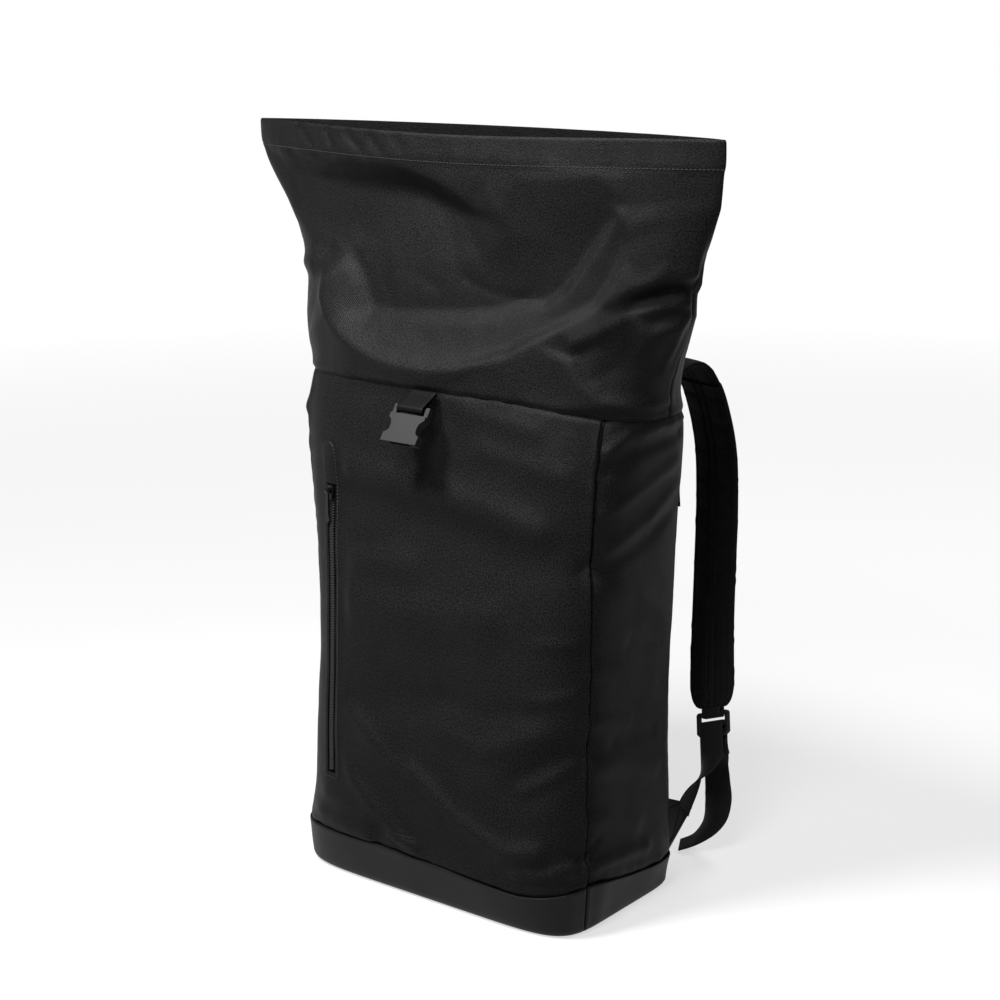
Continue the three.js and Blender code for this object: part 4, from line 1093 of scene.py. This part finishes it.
def webRing(wide, thick):  # flat webbing with round selvedges
    a, b = wide / 2, thick / 2
    line = np.linspace(-a + b, a - b, 9)
    lower = [(x, -b) for x in line]
    upper = [(x, b) for x in line[::-1]]
    rightEdge = [(a - b * 0.3, -b * 0.7), (a, 0), (a - b * 0.3, b * 0.7)]
    leftEdge = [(-a + b * 0.3, b * 0.7), (-a, 0), (-a + b * 0.3, -b * 0.7)]
    return np.array(lower + rightEdge + upper + leftEdge)


def webPiece(name, path, side, wide, thick, node, fine=2.0, finish=webbing):
    path, side = np.asarray(path, float), np.asarray(side, float)
    run = runAlong(path)
    at = np.linspace(0, run[-1], max(6, int(run[-1] / fine)))
    path, side = pointsAt(at, run, path), unit(pointsAt(at, run, side))
    rings = np.repeat(webRing(wide, thick)[None], len(path), axis=0)
    made = bandPiece(name, path, side, rings, finish)
    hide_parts(node)


# shoulder straps
strapForm = {
    # x, y, z, yaw of the width
    "line": [(110, 52, 440, 0), (111, 88, 459, -4), (113, 113, 468, -8), (116, 132, 464, -11),
             (119, 149, 446, -14), (121, 164, 415, -14), (123, 173, 380, -14), (124, 176, 330, -14),
             (124, 175, 260, -14), (129, 166, 205, -14), (139, 151, 165, -14), (146, 142, 144, -14)],
    "tail": [(149, 145, 94, -6), (150, 147, 74, -2), (151, 148, 56, 4), (148, 149, 38, -8),
             (139, 147, 20, -38), (128, 142, 8, -58), (117, 136, 2.2, -64)],
    "rootShare": 0.04, "yokeShare": 0.36, "yokeThick": 6.5, "yokeDip": 0.9, "joinGap": 0.0012,
    "endShare": 0.96, "padWide": 52, "padThick": 9, "padDip": 2.2, "roundFrom": 0.93, "roundEnd": 0.5,
    "webWide": 28, "webThick": 1.5, "webFine": 1.6, "tabWide": 22, "tabFine": 0.8,
    "stitch": 4.0, "stitchSink": 1.6, "stitchLook": dict(stitchLook, radius=0.3),
}
# section of a padded strap: corners of the ring, squareness and fullness, crown, width of a sewn channel
padForm = {
    "sides": 60, "square": 4, "full": 0.31, "crown": 0.06, "channel": 1.7,
    "binding": (0.6, 1.3), "bindingIn": 5.5,
    "tuft": 29.0, "tuftDip": 0.35, "tuftWide": 3.0, "tuftFrom": (5, 9),
    "waveAcross": 26, "waveAlong": 9, "seeds": (5.5, 7.5),
}
# ladder lock: the tab is folded round its first bar, the adjuster runs over its second
lockForm = {
    "thick": 4, "length": 23, "below": 4, "tabBar": 4, "webBar": 10.5, "gap": 0.3, "bend": 0.71,
    "tabUp": -3.6, "clear": 1, "tailFrom": 8, "loadTo": 10, "tailYaw": -14,
}
anchorForm = {
    # corners: out from the seam, up from the floor
    "rows": [(1.9, 77), (1.9, 25), (50, 51), (24, 67)], "cornerZ": 62.0, "seamOut": 0.4,
    "outward": (-0.1, 0.995), "lines": (49, 41), "size": 40, "rootIn": 0.2,
    "thick": 3.0, "edgeThick": 0.55, "puff": 0.45, "puffReach": 4,
    "seam": (0.75, 1.3, 6), "cross": (0.75, 1.3), "crossSize": 26, "crossFrom": (5, 7),
    "loop": [(7, 6), (7, -7), (-8, -7), (-8, 6), (7, 6), (-8, -7)], "stitchSink": 0.6,
    "stitchLook": dict(stitchLook, length=2.0, gap=0.8, radius=0.26),
    # webbing: length inside the tab, straight lead, span of its twist
    "sewn": 9, "stiff": 14, "twist": (0.12, 0.96),
}


def padWave(across, at, faces):  # slow unevenness of the padding, different on the two faces
    seeds = [padForm["seeds"][int(face > 0)] for face in faces]
    spots = [(a / padForm["waveAcross"], at / padForm["waveAlong"], seed) for a, seed in zip(across, seeds)]
    return np.array([noise.noise(Vector(spot)) for spot in spots])


def padRings(path, wideAt, thick, channel):
    turn = np.linspace(0, math.pi, padForm["sides"] + 1)[:-1]
    x = np.concatenate([-np.cos(turn), np.cos(turn)])
    full = np.maximum(0, 1 - x ** padForm["square"]) ** padForm["full"]
    y = np.repeat([-1.0, 1.0], padForm["sides"]) * full
    flank = np.sign(y) * (np.abs(y) > 0.5)
    stitch, tuft = strapForm["stitch"], padForm["tuft"]
    run = runAlong(path)
    rings = []
    for at in run:
        wide = wideAt(at / run[-1])
        across = x * wide / 2
        crown = 1.0 + padForm["crown"] * (1 - (across / (wide / 2)) ** 2)
        sewn = [bell(across + side * stitch, padForm["channel"]) for side in (-1, 1)]
        dip = channel * (sewn[0] + sewn[1])
        tufting = padForm["tuftDip"] * channel * bell(at % tuft - tuft / 2, padForm["tuftWide"])
        dip = dip + tufting * ease(*padForm["tuftFrom"], np.abs(across))
        binding = edging(np.abs(across), *padForm["binding"], wide / 2 - padForm["bindingIn"])
        body = thick / 2 * y * crown - flank * (dip + binding)
        rings.append(np.stack([across, body + flank * padWave(across, at, y)], axis=1))
    return np.array(rings)


def padWidth(t):  # full width, then a round end
    x = np.clip((t - strapForm["roundFrom"]) / (1 - strapForm["roundFrom"]), 0, 1)
    return strapForm["padWide"] * mix(strapForm["roundEnd"], 1, math.sqrt(1 - x * x))


def mirrored(rows, sign):
    return [(sign * x, y, z, sign * yaw) for x, y, z, yaw in rows]


def yokePiece(rows, suffix):
    shares = np.linspace(strapForm["rootShare"], strapForm["yokeShare"], 70)
    path, side = smoothPath(rows, shares), heading(rows, shares)
    rings = padRings(path, lambda t: strapForm["padWide"] - 1, strapForm["yokeThick"], strapForm["yokeDip"])
    yoke = bandPiece("strapYoke" + suffix, path, side, rings, padCloth)
    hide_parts("strap_yoke_" + suffix.lower())


def padPiece(rows, suffix):  # gives the place and directions that the lock hangs by
    start, end = strapForm["yokeShare"] + strapForm["joinGap"], strapForm["endShare"]
    shares = np.concatenate([np.linspace(start, end, 180), np.linspace(end + 0.002, 1, 30)])
    path, side = smoothPath(rows, shares), heading(rows, shares)
    rings = padRings(path, padWidth, strapForm["padThick"], strapForm["padDip"])
    pad = bandPiece("strapPad" + suffix, path, side, rings, padCloth)
    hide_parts("strap_pad_" + suffix.lower())
    ahead, across, facing = bandFrame(path, side)
    paths = []
    high = strapForm["padThick"] / 2 - strapForm["stitchSink"]
    for face in (-1, 1):
        for beside in (-strapForm["stitch"], strapForm["stitch"]):
            spots = path + across * beside + facing * face * high
            paths.append((spots[3:-12], facing[3:-12] * face))
    stitchPiece("padStitches" + suffix, paths, strapForm["stitchLook"])
    down, wideWay = ahead[-1], across[-1]
    return {"at": path[-1] + down * lockForm["below"], "down": down, "across": wideWay,
            "through": np.cross(wideWay, down)}


def lockSpot(lock, out, along):
    return lock["at"] + lock["through"] * out + lock["down"] * along


webWrap = lockForm["thick"] / 2 + lockForm["gap"] + strapForm["webThick"] / 2  # from the lock's middle


def roundBar(edge, away):  # webbing over a bar of the lock: through and along
    flat = lockForm["thick"] / 2
    bend = (webWrap - flat) * lockForm["bend"]
    near = [(webWrap, edge), (flat + bend, edge + away * bend), (flat, edge - away * flat + away * webWrap)]
    return near + [(-out, along) for out, along in reversed(near)]


def tabPiece(lock, suffix):
    ends = [(webWrap, lockForm["tabUp"]), (-webWrap, lockForm["tabUp"])]
    spots = ends[:1] + roundBar(lockForm["tabBar"], 1) + ends[1:]
    path = [lockSpot(lock, a, b) for a, b in spots]
    webPiece("strapTab" + suffix, path, [lock["across"]] * len(path), strapForm["tabWide"],
             strapForm["webThick"], "strap_tab_" + suffix.lower(), strapForm["tabFine"])


def anchorSide(sign, suffix):  # tab in the rear corner seam
    cornerZ = anchorForm["cornerZ"]
    corner = np.array([sign * float(cornerBack(cornerZ))])
    seam, _ = clothSkin(corner, np.array([cornerZ]), anchorForm["seamOut"], 0.0)
    aside, back = anchorForm["outward"]
    outward = unit(np.array([aside * sign, back, 0.0]))
    upward = np.array([0.0, 0.0, 1.0])
    foot = np.array([seam[0][0], seam[0][1], 0.0])
    corners = [foot + outward * a + upward * b for a, b in anchorForm["rows"]]
    anchorPiece("anchorTab" + suffix, corners, np.cross(outward, upward), "anchor_tab_" + suffix.lower())
    edgeSide = unit(corners[2] - corners[3])
    lead = unit(outward * -edgeSide[2] + upward * float(edgeSide @ outward))
    return {"at": (corners[2] + corners[3]) / 2, "across": edgeSide, "lead": lead}


def curveAt(points, t):  # point on the curve that the points steer
    while len(points) > 1:
        points = [mix(a, b, t) for a, b in zip(points[:-1], points[1:])]
    return points[0]


def adjusterPiece(sign, suffix, lock, anchor):  # from the anchor up through the lock, then the free end
    length, stiff = lockForm["length"], anchorForm["stiff"]
    loadEnd = lockSpot(lock, -webWrap, length + lockForm["loadTo"])
    steer = [anchor["at"] - anchor["lead"] * anchorForm["sewn"], anchor["at"] + anchor["lead"] * stiff,
             loadEnd + lock["down"] * stiff, loadEnd]
    turnTo = lock["across"] * -sign
    path, sides = [], []
    for k in range(60):
        turn = float(ease(*anchorForm["twist"], k / 60))
        path.append(curveAt(steer, k / 60))
        sides.append(unit(anchor["across"] * (1 - turn) + turnTo * turn))
    spots = [(webWrap, length + lockForm["loadTo"]), (webWrap, length + lockForm["clear"])]
    spots += roundBar(lockForm["webBar"], -1)
    spots += [(-webWrap, length + lockForm["clear"]), (-webWrap, length + lockForm["tailFrom"])]
    path += [lockSpot(lock, -a, b) for a, b in spots]
    sides += [turnTo] * len(spots)
    first = lockSpot(lock, webWrap, length + lockForm["tailFrom"])
    tailRows = [(*first, sign * lockForm["tailYaw"])] + mirrored(strapForm["tail"], sign)
    shares = np.linspace(0, 1, 60)[1:]
    path += list(smoothPath(tailRows, shares))
    sides += list(heading(tailRows, shares) * -sign)
    webPiece("adjusterWebbing" + suffix, path, sides, strapForm["webWide"], strapForm["webThick"],
             "adjuster_webbing_" + suffix.lower(), strapForm["webFine"])


def anchorPiece(name, corners, flatWay, node):  # stitched cloth wing
    root, tip = (corners[1], corners[0]), (corners[2], corners[3])
    rows, cols = (np.linspace(0, 1, count) for count in anchorForm["lines"])
    size = anchorForm["size"]
    grid = np.array([[mix(mix(*root, u), mix(*tip, u), v) for u in cols] for v in rows])
    fromSide, fromRoot = np.minimum(cols, 1 - cols), np.minimum(rows + anchorForm["rootIn"], 1 - rows)
    edge = np.minimum(fromSide[None, :] * size, fromRoot[:, None] * size)
    full = anchorForm["edgeThick"] + anchorForm["puff"] * ease(0, anchorForm["puffReach"], edge)
    puff = anchorForm["thick"] / 2 * full - edging(edge, *anchorForm["seam"])
    cross = edging((rows[:, None] - cols[None, :]) * anchorForm["crossSize"], *anchorForm["cross"])
    puff = puff - cross * ease(*anchorForm["crossFrom"], edge)
    cut = np.stack(np.meshgrid(cols * size, rows * size), axis=-1)
    side = flatWay * puff[..., None]
    made = sheetPiece(name, grid + side, grid - side, cut, shellCloth)
    fixFacing(made)
    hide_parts(node)
    loop = [grid[spot] for spot in anchorForm["loop"]]
    fine = np.concatenate([np.linspace(a, b, 12, endpoint=False) for a, b in zip(loop[:-1], loop[1:])])
    paths = []
    for face in (-1, 1):
        spots = fine + flatWay * face * (anchorForm["thick"] / 2 - anchorForm["stitchSink"])
        paths.append((spots, np.repeat(flatWay[None] * face, len(spots), axis=0)))
    stitchPiece(name + "Stitches", paths, anchorForm["stitchLook"])


def strapSide(sign, suffix):
    rows = mirrored(strapForm["line"], sign)
    yokePiece(rows, suffix)
    lock = padPiece(rows, suffix)
    tabPiece(lock, suffix)
    anchor = anchorSide(sign, suffix)
    adjusterPiece(sign, suffix, lock, anchor)


for sign, suffix in ((1, "Right"), (-1, "Left")):
    strapSide(sign, suffix)
print("straps laid")

# buckle half on its loop
buckleForm = {
    "x": -4, "reach": 19, "drop": 13, "bar": 1.7, "gap": 0.3, "turns": 12, "fine": 0.9,
    # the two layers near the seam: distance along, half spread
    "root": [(2.6, 1), (8, 1.2)], "neck": (6, 2.3),
}


def loopPiece():
    seamZ = float(bagForm["seamFront"])
    share = np.array([buckleForm["x"] / float(halfGirth(seamZ))])
    seamSpot, _ = clothSkin(share, np.array([seamZ]), 0.0, 0.0)
    run = math.hypot(buckleForm["reach"], buckleForm["drop"])
    ahead = np.array([0, -buckleForm["reach"], -buckleForm["drop"]]) / run
    up = np.cross([1, 0, 0], ahead)
    middle = buckleForm["bar"] + buckleForm["gap"] + strapForm["webThick"] / 2
    short, spread = buckleForm["neck"]
    upper = buckleForm["root"] + [(run - short, spread), (run, middle)]
    turns = [k / buckleForm["turns"] * math.pi for k in range(1, buckleForm["turns"])]
    spots = upper + [(run + math.sin(turn) * middle, math.cos(turn) * middle) for turn in turns]
    spots += [(a, -b) for a, b in reversed(upper)]
    path = [seamSpot[0] + ahead * a + up * b for a, b in spots]
    webPiece("buckleWebbing", path, [(1.0, 0, 0)] * len(path), strapForm["webWide"], strapForm["webThick"],
             "buckle_webbing", buckleForm["fine"], loopWebbing)


loopPiece()

# hard pieces keep their CAD mesh: node, finish, width of the eased edges in mm, steps across them
hardPieces = [
    ("buckle_socket", greyPlastic, 0.8, 3), ("closure_plug", greyPlastic, 0.6, 3),
    ("ladder_lock_right", blackPlastic, 0.7, 3), ("ladder_lock_left", blackPlastic, 0.7, 3),
    ("zip_slider", zipMetal, 0.25, 2), ("zip_pull", zipMetal, 0.25, 2), ("side_pull", pullTab, 0.4, 2),
]
for name, finish, width, steps in hardPieces:
    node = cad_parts[name]
    node.data.materials.clear()
    node.data.materials.append(finish)
    weld = node.modifiers.new("weld", "WELD")
    weld.merge_threshold = 0.02 * mm
    bevel = node.modifiers.new("ease", "BEVEL")
    bevel.width = width * mm
    bevel.segments = steps
    bevel.limit_method = "ANGLE"
    bevel.angle_limit = math.radians(32)
    bevel.harden_normals = True
    even = node.modifiers.new("even", "WEIGHTED_NORMAL")
    even.keep_sharp = True

# closure strap at the middle of the back
closureForm = {"low": 300, "high": 446, "wide": 28, "out": 0.8}


def closurePiece():
    z = np.linspace(closureForm["low"], closureForm["high"], 74)
    out = closureForm["out"] + strapForm["webThick"] / 2 + panels["crown"] - panels["crownSink"]
    path, _ = clothSkin(np.ones_like(z), z, out, 0.0)
    webPiece("closureStrap", path, [(1.0, 0, 0)] * len(z), closureForm["wide"], strapForm["webThick"],
             "closure_strap")


closurePiece()
print("hardware dressed")

# pale floor that glows with painted light, dimmer near the bag and brighter far off, and soft light
floorForm = {
    "half": 40, "grain": 3.0, "tones": (0.12, 0.124), "near": 0.62, "far": 0.98, "from": 0.9, "over": 2.6,
}
floorLook = Finish("paleFloor", {"Roughness": 0.9, "Specular IOR Level": 0.1, "Emission Strength": 1.0})
floorSpot = floorLook.node("ShaderNodeTexCoord", {}, {}, "Object")
floorGrain = floorLook.cloud(floorSpot, floorForm["grain"], 2.0)
floorLook.feed("Base Color", floorLook.tint(floorGrain, *floorForm["tones"]))
# glow rising with distance from the middle: painted light that lightens the floor's shadows and lights the
# bag from below
away = floorLook.node("ShaderNodeVectorMath", {"operation": "LENGTH"}, {0: floorSpot}, 1)
away = ((away - floorForm["from"]) * (1 / floorForm["over"])).cap(0.0, 1.0)
floorLook.feed("Emission Color", floorLook.tint(away, floorForm["near"], floorForm["far"]))
floorMesh = bpy.data.meshes.new("floor")
far = floorForm["half"]
floorCorners = [(x * far, y * far, 0) for x, y in ((-1, -1), (1, -1), (1, 1), (-1, 1))]
floorMesh.from_pydata(floorCorners, [], [(0, 1, 2, 3)])
floorMesh.materials.append(floorLook.material)
floor = bpy.data.objects.new("floor", floorMesh)
scene.collection.objects.link(floor)

studio = {
    "sky": 0.12, "seen": 1.0,  # light that falls on the bag, and the white behind it
    # name, watts, width, place, aim
    "lamps": [("key", 118.0, 0.42, (-0.36, -0.9, 1.88), (0.0, 0.0, 0.4)),
              ("fill", 50.0, 0.7, (0.48, -1.2, 1.75), (0.0, 0.0, 0.45)),
              ("rear", 40.0, 0.9, (0.0, 1.4, 1.7), (0.0, 0.0, 0.4))],
}
world = bpy.data.worlds.new("studio")
scene.world = world
world.use_nodes = True
sky = Board(world.node_tree)
white = (1, 1, 1, 1)
light, seen = (sky.node("ShaderNodeBackground", {}, {0: white, 1: studio[key]}) for key in ("sky", "seen"))
toCamera = sky.node("ShaderNodeLightPath", {}, {}, "Is Camera Ray")
blend = sky.node("ShaderNodeMixShader", {}, {0: toCamera, 1: light, 2: seen})
sky.node("ShaderNodeOutputWorld", {}, {0: blend})
for name, energy, wide, spot, aim in studio["lamps"]:
    lampData = bpy.data.lights.new(name, "AREA")
    lampData.energy = energy
    lampData.shape = "DISK"
    lampData.size = wide
    lamp = bpy.data.objects.new(name, lampData)
    lamp.location = spot
    lamp.rotation_euler = (Vector(aim) - Vector(spot)).to_track_quat("-Z", "Y").to_euler()
    scene.collection.objects.link(lamp)
print("studio lit")
